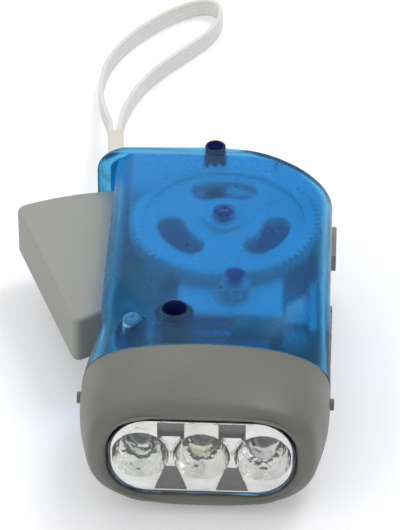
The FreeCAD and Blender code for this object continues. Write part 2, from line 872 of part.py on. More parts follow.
pinion_teeth = int(size("drive_pinion_teeth"))
pinion_step = 360.0 / pinion_teeth
fly_bottom = size("fly_bottom")
pawl_top = fly_bottom - 0.3
pawl_bottom = pawl_top - size("pawl_thickness")
ratchet_root = size("ratchet_outer") - 1.0
ratchet_tip = ratchet_root - size("ratchet_depth")
pawl_reach = ratchet_tip - size("pawl_gap")
pinion_line = toothed_points(
    axle, drive_module, pinion_teeth, 0, pinion_teeth, line_bearing + 180 + pinion_step / 2
)
drive_teeth = plan_pad("drive_teeth", [segments(pinion_line)], pinion_bottom, "Sizes.drive_pinion_height")
drive_neck = upright(
    "drive_neck", "Sizes.axle_radius + 1.6", axle, pinion_bottom + 2, pawl_top
)
pawl_arms = []
for number in range(3):
    start = 120 * number
    inner_reach = size("axle_radius") + 1.0
    arm_points = [
        polar(inner_reach, start - 25, axle),
        polar(pawl_reach - 1.4, start + 5, axle),
        polar(pawl_reach, start + 42, axle),
        polar(pawl_reach - 0.9, start + 44, axle),
        polar(pawl_reach - 2.3, start + 12, axle),
        polar(inner_reach, start + 25, axle),
    ]
    pawl_arms.append(
        plan_pad(f"pawl_arm_{number + 1}", [segments(arm_points)], pawl_bottom, "Sizes.pawl_thickness")
    )
drive_bore = upright("drive_bore", "Sizes.axle_radius + Sizes.running_clearance", axle, 0, thickness)
drive_raw = fused("drive_raw", [drive_teeth, drive_neck, *pawl_arms])
finish("drive_pinion", cut("drive_pinion", drive_raw, [drive_bore]))
finish(
    "flywheel_axle",
    upright("flywheel_axle", "Sizes.axle_radius", axle, socket_floor, thickness - 1.0),
)

fly_teeth = int(size("fly_teeth"))
fly_module = size("fly_module")
rotor_bearing = size("rotor_bearing_angle")
rim_line = toothed_points(axle, fly_module, fly_teeth, 0, fly_teeth, rotor_bearing)
fly_blank = plan_pad("fly_blank", [segments(rim_line)], fly_bottom, "Sizes.fly_rim_thickness")
web_radius = fly_module * fly_teeth / 2 - 3.0
web_drop = (size("fly_rim_thickness") - size("fly_web_thickness")) / 2
fly_top = fly_bottom + size("fly_rim_thickness")
recesses = [
    upright("fly_recess_top", web_radius, axle, fly_top - web_drop, fly_top + 1),
    upright("fly_recess_bottom", web_radius, axle, fly_bottom - 1, fly_bottom + web_drop),
]
kidneys = []
kidney_mid = (size("kidney_inner") + size("kidney_outer")) / 2
kidney_half = (size("kidney_outer") - size("kidney_inner")) / 2
half_angle = size("kidney_half_angle")
for number in range(3):
    centre_bearing = size("kidney_bearing") + 120 * number
    low, high = centre_bearing - half_angle, centre_bearing + half_angle
    low_mid, high_mid = polar(kidney_mid, low, axle), polar(kidney_mid, high, axle)
    kidney = [
        arc_through(axle, kidney_mid + kidney_half, low, high),
        Part.Arc(
            polar(kidney_mid + kidney_half, high, axle),
            polar(kidney_half, high + 90, high_mid),
            polar(kidney_mid - kidney_half, high, axle),
        ),
        arc_through(axle, kidney_mid - kidney_half, high, low),
        Part.Arc(
            polar(kidney_mid - kidney_half, low, axle),
            polar(kidney_half, low - 90, low_mid),
            polar(kidney_mid + kidney_half, low, axle),
        ),
    ]
    kidneys.append(plan_pad(f"kidney_{number + 1}", [kidney], fly_bottom - 1, "Sizes.fly_rim_thickness + 2"))
fly_hub = upright("fly_hub", "Sizes.fly_hub_radius", axle, fly_bottom + web_drop, hub_top)
ratchet_bottom = pawl_bottom - 0.2
ratchet_points = []
ratchet_teeth = int(size("ratchet_teeth"))
for number in range(ratchet_teeth):
    turn = 360.0 * number / ratchet_teeth
    ratchet_points.append(polar(ratchet_root, turn, axle))
    ratchet_points.append(polar(ratchet_tip, turn + 1.5, axle))
ratchet_ring = plan_pad(
    "ratchet_ring",
    [circle(size("ratchet_outer"), axle), segments(ratchet_points)],
    ratchet_bottom,
    fly_bottom + web_drop + 0.1 - ratchet_bottom,
)
fly_bore = upright("fly_bore", "Sizes.axle_radius + Sizes.running_clearance", axle, 0, thickness)
fly_disc = cut("fly_disc", fly_blank, [*recesses, *kidneys])
finish("flywheel", cut("flywheel", fused("fly_raw", [fly_disc, fly_hub, ratchet_ring]), [fly_bore]))

# Generator: rotor with its pinion, stator plates, coils on bobbins, base and cover

rotor_teeth = int(size("rotor_pinion_teeth"))
rotor_step = 360.0 / rotor_teeth
generator_top = size("generator_top")
cover_bottom = generator_top - size("cover_thickness")
base_top = generator_bottom + size("base_thickness")
axle_foot = generator_bottom + 0.5
rotor_line = toothed_points(
    rotor, fly_module, rotor_teeth, 0, rotor_teeth, rotor_bearing + 180 + rotor_step / 2
)
rotor_gear = plan_pad("rotor_gear", [segments(rotor_line)], generator_top + 0.3, "Sizes.rotor_pinion_height")
rotor_collar = upright("rotor_collar", 1.7, rotor, rotor_top - 1.2, rotor_top)
rotor_way = upright("rotor_way", "Sizes.rotor_axle_radius + 0.02", rotor, 0, thickness)
rotor_pinion_raw = fused("rotor_pinion_raw", [rotor_gear, rotor_collar])
finish("rotor_pinion", cut("rotor_pinion", rotor_pinion_raw, [rotor_way]))
finish(
    "rotor_axle",
    upright("rotor_axle", "Sizes.rotor_axle_radius", rotor, axle_foot, thickness - 1.0),
)
magnet_bottom = base_top + 0.3
magnet_top = magnet_bottom + size("magnet_length")
magnet_blank = upright("magnet_blank", "Sizes.magnet_radius", rotor, magnet_bottom, magnet_top)
magnet_bore = upright("magnet_bore", "Sizes.rotor_axle_radius + 0.02", rotor, 0, thickness)
finish("rotor_magnet", cut("rotor_magnet", magnet_blank, [magnet_bore]))

corner_low = Vector(generator_left, generator_front, generator_bottom)
base_plate = block(
    "base_plate",
    "Sizes.generator_reach_left + Sizes.generator_reach_right",
    "Sizes.generator_width",
    "Sizes.base_thickness",
    corner_low,
)
base_bearing = upright("base_bearing", "Sizes.rotor_axle_radius + 0.05", rotor, 0, thickness)
finish("generator_base", cut("generator_base", base_plate, [base_bearing]))
cover_plate = block(
    "cover_plate",
    "Sizes.generator_reach_left + Sizes.generator_reach_right",
    "Sizes.generator_width",
    "Sizes.cover_thickness",
    Vector(generator_left, generator_front, cover_bottom),
)
cover_skirt = block(
    "cover_skirt",
    "Sizes.generator_reach_left + Sizes.generator_reach_right",
    1.0,
    cover_bottom - base_top,
    Vector(generator_left, generator_front, base_top),
)
cover_bearing = upright("cover_bearing", "Sizes.rotor_axle_radius + 0.4", rotor, 0, thickness)
finish(
    "generator_cover",
    cut("generator_cover", fused("cover_raw", [cover_plate, cover_skirt]), [cover_bearing]),
)

gap = size("pole_gap")
pole_inner = size("magnet_radius") + gap
pole_height = size("magnet_length")
core_high = magnet_bottom + pole_height / 2
coil_y = rotor.y + 0.5
shoe_depth, shoe_width = 2.4, 9.0
arm_width, arm_height = 2.6, 2.0
for side_name, way in (("left", -1), ("right", 1)):
    reach = (rotor.x - generator_left) if way < 0 else (generator_right - rotor.x)
    start_x = rotor.x + way * (pole_inner - 1.6)
    end_x = rotor.x + way * (reach - 0.4)
    low_x, high_x = sorted((start_x, end_x))
    shoe = block(
        f"pole_shoe_{side_name}", shoe_depth, shoe_width, pole_height,
        Vector(min(start_x, start_x + way * shoe_depth), coil_y - shoe_width / 2, magnet_bottom),
    )
    arm = block(
        f"pole_arm_{side_name}", high_x - low_x, arm_width, arm_height,
        Vector(low_x, coil_y - arm_width / 2, core_high - arm_height / 2),
    )
    bore = upright(f"pole_bore_{side_name}", pole_inner, rotor, 0, thickness)
    finish(
        f"stator_pole_{side_name}",
        cut(f"stator_pole_{side_name}", fused(f"pole_raw_{side_name}", [shoe, arm]), [bore]),
    )
    coil_start = rotor.x + way * (pole_inner + 1.1)
    coil_end = rotor.x + way * (reach - 0.5)
    low_x, high_x = sorted((coil_start, coil_end))
    length = high_x - low_x
    winding_half = (cover_bottom - base_top) / 2 - fit_gap
    centre_high = (base_top + cover_bottom) / 2
    winding = block(
        f"winding_{side_name}", length, "Sizes.winding_width", 2 * winding_half,
        Vector(low_x, coil_y - size("winding_width") / 2, centre_high - winding_half),
    )
    sleeve = block(
        f"winding_bore_{side_name}", length + 2, arm_width + 2 * clearance, arm_height + 2 * clearance,
        Vector(low_x - 1, coil_y - arm_width / 2 - clearance, core_high - arm_height / 2 - clearance),
    )
    finish(f"coil_{side_name}", cut(f"coil_{side_name}", winding, [sleeve]))

# Cells in their cradle, slide switch, lever lock

cell_radius = size("cell_radius")
cell_thickness = size("cell_thickness")
cell_high = size("cell_height")
cell_x = size("cell_x")
cell_low_y = size("cell_y") + cell_radius
cell_step = 2 * cell_radius + size("cell_gap")
cell_spots = [cell_low_y, cell_low_y + cell_step]
cell_names = ["front", "rear"]
for name, spot in zip(cell_names, cell_spots):
    can = cylinder(
        f"cell_can_{name}", "Sizes.cell_radius", "Sizes.cell_thickness - 0.6",
        Vector(cell_x, spot, cell_high), Vector(1, 0, 0),
    )
    cap = cylinder(
        f"cell_cap_{name}", "Sizes.cell_radius - 1.2", "Sizes.cell_thickness",
        Vector(cell_x, spot, cell_high), Vector(1, 0, 0),
    )
    finish(f"cell_{name}", fused(f"cell_{name}", [can, cap]))
cradle_block = block(
    "cradle_block",
    "Sizes.cell_thickness",
    "4 * Sizes.cell_radius + Sizes.cell_gap",
    cell_high - 2.2 - wall,
    Vector(cell_x, size("cell_y"), wall),
)
cradle_pockets = [
    cylinder(
        f"cradle_pocket_{name}", "Sizes.cell_radius + 0.05", cell_thickness + 2,
        Vector(cell_x - 1, spot, cell_high), Vector(1, 0, 0),
    )
    for name, spot in zip(cell_names, cell_spots)
]
cradle_inside = common("cradle_inside", cradle_block, inner_form)
finish("cell_cradle", cut("cell_cradle", cradle_inside, cradle_pockets))
tab_length = cell_step + 4
finish(
    "cell_tab",
    block("cell_tab", 0.2, tab_length, 3, Vector(cell_x - 0.2, cell_low_y - 2, cell_high - 1.5)),
)

switch_y = size("switch_y")
switch_x = cell_x + cell_thickness + 0.3
switch_half = size("switch_height") / 2
finish(
    "switch_body",
    block(
        "switch_body", "Sizes.switch_body_thickness", "Sizes.switch_length - 1", "Sizes.switch_height - 0.6",
        Vector(switch_x, switch_y + 0.5, mid - switch_half + 0.3),
    ),
)
knob_x = switch_x + size("switch_body_thickness") + fit_gap
knob_length = size("switch_length") - size("switch_travel") - 2 * fit_gap - 2
knob_height = size("switch_height") - 2 * fit_gap - 1
knob_plate = block(
    "knob_plate", f"Sizes.case_side_right + Sizes.knob_proud - {knob_x}", knob_length, knob_height,
    Vector(knob_x, switch_y + fit_gap, mid - knob_height / 2),
)
knob_face = size("case_side_right") + size("knob_proud")
groove_width, groove_depth, groove_pitch = 0.7, 0.6, 2.0
knob_grooves = [
    block(
        f"knob_groove_{number}", 2, groove_width, knob_height + 2,
        Vector(knob_face - groove_depth, switch_y + 2.2 + groove_pitch * number, mid - knob_height / 2 - 1),
    )
    for number in range(4)
]
finish("switch_knob", cut("switch_knob", knob_plate, knob_grooves))

lock_y = size("lock_y")
lock_half = size("lock_height") / 2
lock_root = size("case_side_right") + size("lock_proud") - size("lock_reach")
flange_rim = 1.2
lock_tab = block(
    "lock_tab", "Sizes.lock_reach", "Sizes.lock_length", "Sizes.lock_height",
    Vector(lock_root, lock_y, mid - lock_half),
)
lock_flange = block(
    "lock_flange", 0.9, "Sizes.lock_length + 2.4", "Sizes.lock_height + 2.4",
    Vector(lock_root, lock_y - flange_rim, mid - lock_half - flange_rim),
)
finish("lock_slide", fused("lock_slide", [lock_tab, lock_flange]))

# Case screws, one group of two

screws = []
for name, spot, under_head, head_radius, length in (
    ("front", front_screw, seat, "Sizes.screw_head_radius", 9.0),
    ("tail", tail_screw, tail_seat, "Sizes.tail_recess_radius - 0.2", 9.0),
):
    head = upright(f"screw_head_{name}", head_radius, spot, under_head, under_head + 1.6)
    shank = upright(
        f"screw_shank_{name}", "Sizes.screw_shank_radius", spot, under_head - length, under_head + 0.2
    )
    slot_long = block(
        f"screw_slot_{name}", 2.4, 0.6, 1,
        Vector(spot.x - 1.2, spot.y - 0.3, under_head + 0.9),
    )
    slot_cross = block(
        f"screw_cross_{name}", 0.6, 2.4, 1,
        Vector(spot.x - 0.3, spot.y - 1.2, under_head + 0.9),
    )
    screws.append(cut(f"screw_{name}", fused(f"screw_raw_{name}", [head, shank]), [slot_long, slot_cross]))
finish("case_screws", fused("case_screws", screws))

# Return spring round the pivot boss, one leg on the lever's peg and one on the front screw sleeve

wire_radius = size("spring_wire") / 2
coil_radius = size("pivot_boss_radius") + wire_radius + fit_gap
spring_low = lever_hub_top + fit_gap + wire_radius
spring_pitch = size("spring_wire") + size("spring_gap")


def leg_heading(target, clear, side):
    """Heading of a leg that leaves the coil as a tangent, coil and target on the same side of it."""
    offset = target - pivot
    swing = math.degrees(math.acos((clear - coil_radius) / offset.Length))
    return bearing(target, pivot) - side * (90 - swing)


peg_heading = leg_heading(peg_spot, size("spring_peg_radius") + wire_radius + clearance, 1)
sleeve_heading = leg_heading(front_screw, size("front_recess_radius") + 1.1 + wire_radius + clearance, -1)
first_bearing = peg_heading - 90
last_bearing = sleeve_heading + 90
spring_turns = (first_bearing - last_bearing) / 360 + int(size("spring_full_turns"))
helix = Part.makeHelix(spring_pitch, spring_pitch * spring_turns, coil_radius)
helix = helix.mirror(Vector(0, 0, 0), Vector(0, 1, 0))
helix.rotate(Vector(0, 0, 0), Vector(0, 0, 1), first_bearing)
helix.translate(Vector(pivot.x, pivot.y, spring_low))
lift_low = Vector(0, 0, spring_low)
lift_high = Vector(0, 0, spring_low + spring_pitch * spring_turns)
low_joint = polar(coil_radius, first_bearing, pivot) + lift_low
high_joint = polar(coil_radius, last_bearing, pivot) + lift_high
low_leg_end = low_joint + polar(peg_spot.distanceToPoint(pivot) + 1, peg_heading)
high_leg_end = high_joint + polar(front_screw.distanceToPoint(pivot), sleeve_heading)
spring_path = Part.Wire(
    [
        Part.LineSegment(low_leg_end, low_joint).toShape(),
        *helix.Edges,
        Part.LineSegment(high_joint, high_leg_end).toShape(),
    ]
)
wire_section = Part.Wire(
    [Part.Circle(low_leg_end, low_leg_end - low_joint, wire_radius).toShape()]
)
spring_solid = spring_path.makePipeShell([wire_section], True, True)
finish("lever_spring", add_feature("lever_spring", spring_solid))
print("spring turns", round(spring_turns, 2), "gap", round(spring_pitch - size("spring_wire"), 2))
print("spring", round(spring_solid.Volume, 2), round(spring_path.Length * math.pi * wire_radius ** 2, 2))

# Wrist strap: string round the bar in the tail wall, crimped ferrule, flat band

ferrule_width = size("ferrule_width")
ferrule_length = size("ferrule_length")
ferrule_height = size("ferrule_height")
ferrule_y = size("ferrule_y")
ferrule_x = size("ferrule_x")
string_radius = size("string_radius")
strap_z = strap_bar.z


def bend_radii(points):
    """Radius of the tangent arc at each inner point of a route."""
    radii = []
    for before, point, after in zip(points, points[1:], points[2:]):
        run_in, run_out = point - before, after - point
        turn = run_in.getAngle(run_out)
        radii.append(0.45 * min(run_in.Length, run_out.Length) / math.tan(turn / 2))
    return radii


def route_wire(points, radii):
    """Straight runs joined by tangent arcs."""
    edges = []
    last = points[0]
    for (before, point, after), radius in zip(zip(points, points[1:], points[2:]), radii):
        back = (before - point).normalize()
        ahead = (after - point).normalize()
        turn = math.pi - back.getAngle(ahead)
        reach = radius * math.tan(turn / 2)
        enter, leave = point + back * reach, point + ahead * reach
        bisector = (back + ahead).normalize()
        middle = point + bisector * (radius / math.cos(turn / 2) - radius)
        edges.append(Part.LineSegment(last, enter).toShape())
        edges.append(Part.Arc(enter, middle, leave).toShape())
        last = leave
    edges.append(Part.LineSegment(last, points[-1]).toShape())
    return Part.Wire(edges)


half_eye = size("strap_bar_width") / 2 + string_radius + 0.35
string_back = tail - wall - string_radius - 0.3
string_spread = 0.8
string_points = [
    Vector(ferrule_x - string_spread, ferrule_y, strap_z),
    Vector(ferrule_x - string_spread, ferrule_y - 2 * string_radius, strap_z),
    Vector(strap_bar.x - half_eye, tail + 1.0, strap_z),
    Vector(strap_bar.x - half_eye, string_back, strap_z),
    Vector(strap_bar.x + half_eye, string_back, strap_z),
    Vector(strap_bar.x + half_eye, tail + 1.0, strap_z),
    Vector(ferrule_x + string_spread, ferrule_y - 2 * string_radius, strap_z),
    Vector(ferrule_x + string_spread, ferrule_y, strap_z),
]
string_radii = [min(radius, cap) for radius, cap in zip(
    bend_radii(string_points), (8.0, 8.0, half_eye * 0.95, half_eye * 0.95, 8.0, 8.0)
)]
print("string radii", [round(radius, 1) for radius in string_radii])
string_wire = route_wire(string_points, string_radii)
string_section = Part.Wire([Part.Circle(string_points[0], Vector(0, 1, 0), string_radius).toShape()])
string_solid = string_wire.makePipeShell([string_section], True, False)
print("string", round(string_solid.Volume, 2), round(string_wire.Length * math.pi * string_radius ** 2, 2))
finish("strap_string", add_feature("strap_string", string_solid))

ferrule_box = block(
    "ferrule_box", "Sizes.ferrule_width", "Sizes.ferrule_length", "Sizes.ferrule_height",
    Vector(ferrule_x - ferrule_width / 2, ferrule_y, strap_z - ferrule_height / 2),
)
ferrule = doc.addObject("Part::Fillet", "ferrule_round")
ferrule.Base = ferrule_box
doc.recompute()
ferrule.Edges = [
    (number, 0.7, 0.7)
    for number, edge in enumerate(ferrule_box.Shape.Edges, start=1)
    if abs(edge.Vertexes[0].Y - edge.Vertexes[1].Y) > 1e-6
]
finish("strap_ferrule", ferrule)

band_thickness = size("band_thickness")
band_width = size("band_width")
band_low = band_width / 2 + 0.35
band_start_y = ferrule_y + ferrule_length
band_side = 0.95
BAND_ROUTE = [
    (ferrule_x - band_side, band_start_y, strap_z),
    (ferrule_x - band_side, band_start_y + 6.0, strap_z),
    (-28.6, band_start_y + 15.5, 8.6),
    (-31.4, band_start_y + 27.0, 4.2),
    (-33.0, band_start_y + 40.0, band_low),
    (-31.6, band_start_y + 52.5, band_low),
    (-26.6, band_start_y + 64.0, band_low),
    (-18.6, band_start_y + 73.5, band_low),
    (-10.4, band_start_y + 79.0, band_low),
    (-5.0, band_start_y + 77.6, band_low),
    (-3.4, band_start_y + 71.8, band_low),
    (-5.8, band_start_y + 62.0, band_low),
    (-11.4, band_start_y + 50.0, band_low),
    (-17.6, band_start_y + 37.0, 3.6),
    (-21.6, band_start_y + 24.0, 7.4),
    (-22.9, band_start_y + 12.0, 11.6),
    (ferrule_x + band_side, band_start_y + 6.0, strap_z),
    (ferrule_x + band_side, band_start_y, strap_z),
]
band_points = [Vector(*point) for point in BAND_ROUTE]
band_radii = bend_radii(band_points)
print("band radii", [round(radius, 1) for radius in band_radii])
band_wire = route_wire(band_points, band_radii)
band_section = Part.makePolygon([
    band_points[0] + Vector(x, 0, z)
    for x, z in (
        (-band_thickness / 2, -band_width / 2),
        (band_thickness / 2, -band_width / 2),
        (band_thickness / 2, band_width / 2),
        (-band_thickness / 2, band_width / 2),
        (-band_thickness / 2, -band_width / 2),
    )
])
sweep = Part.BRepOffsetAPI.MakePipeShell(band_wire)
sweep.setBiNormalMode(Vector(0, 0, 1))
sweep.add(band_section, WithContact=False, WithCorrection=False)
sweep.build()
sweep.makeSolid()
band_solid = sweep.shape()
print("band", round(band_solid.Volume, 1), round(band_wire.Length * band_thickness * band_width, 1),
      "length", round(band_wire.Length, 1))
finish("strap_band", add_feature("strap_band", band_solid))

# Checks before anything is written
doc.recompute()
for item in doc.Objects:
    if any(state in ("Invalid", "Error") for state in item.State):
        raise RuntimeError(f"{item.Name} failed: {item.State}")
os.makedirs("parts", exist_ok=True)
for item in sub_parts:
    shape = item.Shape
    if shape.isNull() or not shape.isValid() or shape.Volume <= 0:
        raise RuntimeError(f"{item.Label} has no valid solid")
    print(f"{item.Label:18s} solids {len(shape.Solids)} volume {shape.Volume:9.2f}")
    shape.exportStep(f"parts/{item.Label}.step")
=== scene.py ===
"""Looks of a squeeze-lever dynamo torch: translucent blue case, satin grey head and lever, chromed lamp
cups, white gears under the case, and a woven wrist strap."""
import json
import logging
import math
from dataclasses import dataclass
from enum import Enum
from functools import cache
from typing import Callable, Sequence

import bmesh
import bpy
from mathutils import Matrix, Vector

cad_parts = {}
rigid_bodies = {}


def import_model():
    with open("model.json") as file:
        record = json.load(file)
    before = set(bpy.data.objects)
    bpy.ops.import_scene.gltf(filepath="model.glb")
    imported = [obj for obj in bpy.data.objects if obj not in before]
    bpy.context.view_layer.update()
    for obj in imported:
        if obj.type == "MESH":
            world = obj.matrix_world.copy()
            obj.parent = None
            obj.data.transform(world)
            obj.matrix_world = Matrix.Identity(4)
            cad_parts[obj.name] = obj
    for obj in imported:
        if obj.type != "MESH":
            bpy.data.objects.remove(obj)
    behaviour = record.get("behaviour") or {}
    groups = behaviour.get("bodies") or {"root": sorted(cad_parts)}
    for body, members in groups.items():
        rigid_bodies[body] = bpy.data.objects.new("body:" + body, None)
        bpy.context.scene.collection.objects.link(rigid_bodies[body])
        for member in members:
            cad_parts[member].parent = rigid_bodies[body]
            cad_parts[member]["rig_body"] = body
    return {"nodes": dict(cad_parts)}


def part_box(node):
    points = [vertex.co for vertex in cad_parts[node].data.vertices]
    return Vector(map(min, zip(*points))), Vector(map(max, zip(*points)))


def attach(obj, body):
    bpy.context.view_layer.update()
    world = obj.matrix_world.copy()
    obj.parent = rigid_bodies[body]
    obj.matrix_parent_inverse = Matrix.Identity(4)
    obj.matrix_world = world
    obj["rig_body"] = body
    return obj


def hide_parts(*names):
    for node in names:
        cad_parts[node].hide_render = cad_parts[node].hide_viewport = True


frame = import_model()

log = logging.getLogger("torch")
MM = 0.001
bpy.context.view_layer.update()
WELD = 2e-6
FLAT_ANGLE = 0.4
SKIN_CREASE = 34.0
EDGE_STEPS = 2
SPLINE_STEPS = 24
NOISE_REACH = (0.3, 0.7)
Colour = tuple[float, float, float]
Point = tuple[float, float, float]


class Hold(Enum):
    """How a strap piece lies."""

    LOOSE = "loose"
    TAUT = "taut"


def rgba(colour: Colour) -> tuple[float, float, float, float]:
    """A colour with full opacity."""
    return (*colour, 1.0)


def metres(points: Sequence[Point]) -> list[Vector]:
    """Points given in millimetres of the object's frame, as vectors in metres."""
    return [Vector(point) * MM for point in points]


def eased(share: float) -> float:
    """A share from 0 to 1 with a soft start and end."""
    return share * share * (3 - 2 * share)


def packed_finish(slot: str) -> bpy.types.Material:
    """The plain finish that the pack itself gives a material slot."""
    return bpy.data.materials[slot]


def link(name: str, data: bpy.types.ID) -> bpy.types.Object:
    """A new object in the scene.

    Args:
        name: Name of the object.
        data: Mesh, curve, camera or light that it holds.

    Returns:
        The object.
    """
    piece = bpy.data.objects.new(name, data)
    bpy.context.scene.collection.objects.link(piece)
    return piece


def shape(name: str, work: bmesh.types.BMesh, crease: float = 32.0) -> bpy.types.Object:
    """A piece with smooth shading that stays crisp across creases.

    Args:
        name: Name of the piece.
        work: The mesh in the making, used up here.
        crease: Angle in degrees past which an edge stays crisp.

    Returns:
        The new object, not yet seated.
    """
    bmesh.ops.recalc_face_normals(work, faces=work.faces)
    mesh = bpy.data.meshes.new(name)
    work.to_mesh(mesh)
    work.free()
    if "custom_normal" in mesh.attributes:
        mesh.attributes.remove(mesh.attributes["custom_normal"])
    for polygon in mesh.polygons:
        polygon.use_smooth = True
    mesh.set_sharp_from_angle(angle=math.radians(crease))
    return link(name, mesh)


def dress(piece: bpy.types.Object, material: bpy.types.Material) -> bpy.types.Object:
    """Give a piece one material all over.

    Args:
        piece: The piece.
        material: Its material.

    Returns:
        The same piece.
    """
    piece.data.materials.clear()
    piece.data.materials.append(material)
    return piece


def dress_node(node: str, material: bpy.types.Material) -> None:
    """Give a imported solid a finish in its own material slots.

    Args:
        node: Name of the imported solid.
        material: Its material.
    """
    solid = frame["nodes"][node]
    if not solid.material_slots:
        solid.data.materials.append(material)
    for slot in solid.material_slots:
        slot.material = material
    log.info("dressed solid %s", node)


def seat(piece: bpy.types.Object, node: str, stands_in: bool = True) -> bpy.types.Object:
    """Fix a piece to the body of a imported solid.

    Args:
        piece: The finished piece.
        node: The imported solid.
        stands_in: Whether the piece replaces that solid.

    Returns:
        The same piece.
    """
    body = str(frame["nodes"][node]["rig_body"])
    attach(piece, body)
    if stands_in:
        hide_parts(node)
    log.info("piece %s on %s", piece.name, body)
    return piece


def reskin(
    node: str, material: bpy.types.Material, edge: float = 0.0,
    reshape: Callable[[Vector], Vector] | None = None,
) -> bpy.types.Object:
    """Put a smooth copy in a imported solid's place and, where it is flat-sided, soften its edges.

    Args:
        node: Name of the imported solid.
        material: The copy's material.
        edge: Width of the softened edges in metres, or 0 where the solid has its own rounds.
        reshape: Gives each point its finished place, where the form is refined.

    Returns:
        The seated copy.
    """
    work = bmesh.new()
    work.from_mesh(frame["nodes"][node].data)
    bmesh.ops.remove_doubles(work, verts=work.verts, dist=WELD)
    if reshape:
        for vertex in work.verts:
            vertex.co = reshape(vertex.co)
    if edge > 0:
        flat = math.radians(FLAT_ANGLE)
        bmesh.ops.dissolve_limit(work, angle_limit=flat, verts=work.verts, edges=work.edges)
        sharp = [
            side for side in work.edges
            if side.is_manifold and side.calc_face_angle(0.0) > math.radians(SKIN_CREASE)
        ]
        bmesh.ops.bevel(
            work, geom=sharp, offset=edge, segments=EDGE_STEPS, profile=0.5, affect="EDGES",
            clamp_overlap=True,
        )
    return seat(dress(shape(f"{node}_skin", work, SKIN_CREASE), material), node)


def lathe(name: str, profile: Sequence[tuple[float, float]], spot: Vector, steps: int) -> bpy.types.Object:
    """A turned piece about a line along Y.

    Args:
        name: Name of the piece.
        profile: Pairs of radius and depth along Y in metres; a first and last radius of zero close it.
        spot: Where the axis crosses y = 0, in metres.
        steps: Facets round the axis.

    Returns:
        The new object.
    """
    work = bmesh.new()
    turns = [2 * math.pi * index / steps for index in range(steps)]
    rings = []
    for radius, depth in profile:
        ring = [spot + Vector((radius * math.cos(turn), depth, radius * math.sin(turn))) for turn in turns]
        if radius == 0:
            rings.append([work.verts.new(ring[0])] * steps)
        else:
            rings.append([work.verts.new(place) for place in ring])
    for low, high in zip(rings, rings[1:]):
        for index in range(steps):
            after = (index + 1) % steps
            work.faces.new(list(dict.fromkeys((low[index], low[after], high[after], high[index]))))
    return shape(name, work)


def skin_rings(name: str, rings: Sequence[Sequence[Point]], crease: float, wrap: bool) -> bpy.types.Object:
    """A closed piece whose surface runs from ring to ring.

    Args:
        name: Name of the piece.
        rings: Rings of as many points each, in millimetres of the object's frame.
        crease: Angle in degrees past which an edge stays crisp.
        wrap: Join the last ring to the first; otherwise both get a cap.

    Returns:
        The new object.
    """
    work = bmesh.new()
    made = [[work.verts.new(point) for point in metres(ring)] for ring in rings]
    pairs = list(zip(made, made[1:]))
    if wrap:
        pairs.append((made[-1], made[0]))
    else:
        work.faces.new(made[0])
        work.faces.new(made[-1])
    for ring, beyond in pairs:
        for step in range(len(ring)):
            after = (step + 1) % len(ring)
            work.faces.new((ring[step], ring[after], beyond[after], beyond[step]))
    return shape(name, work, crease)


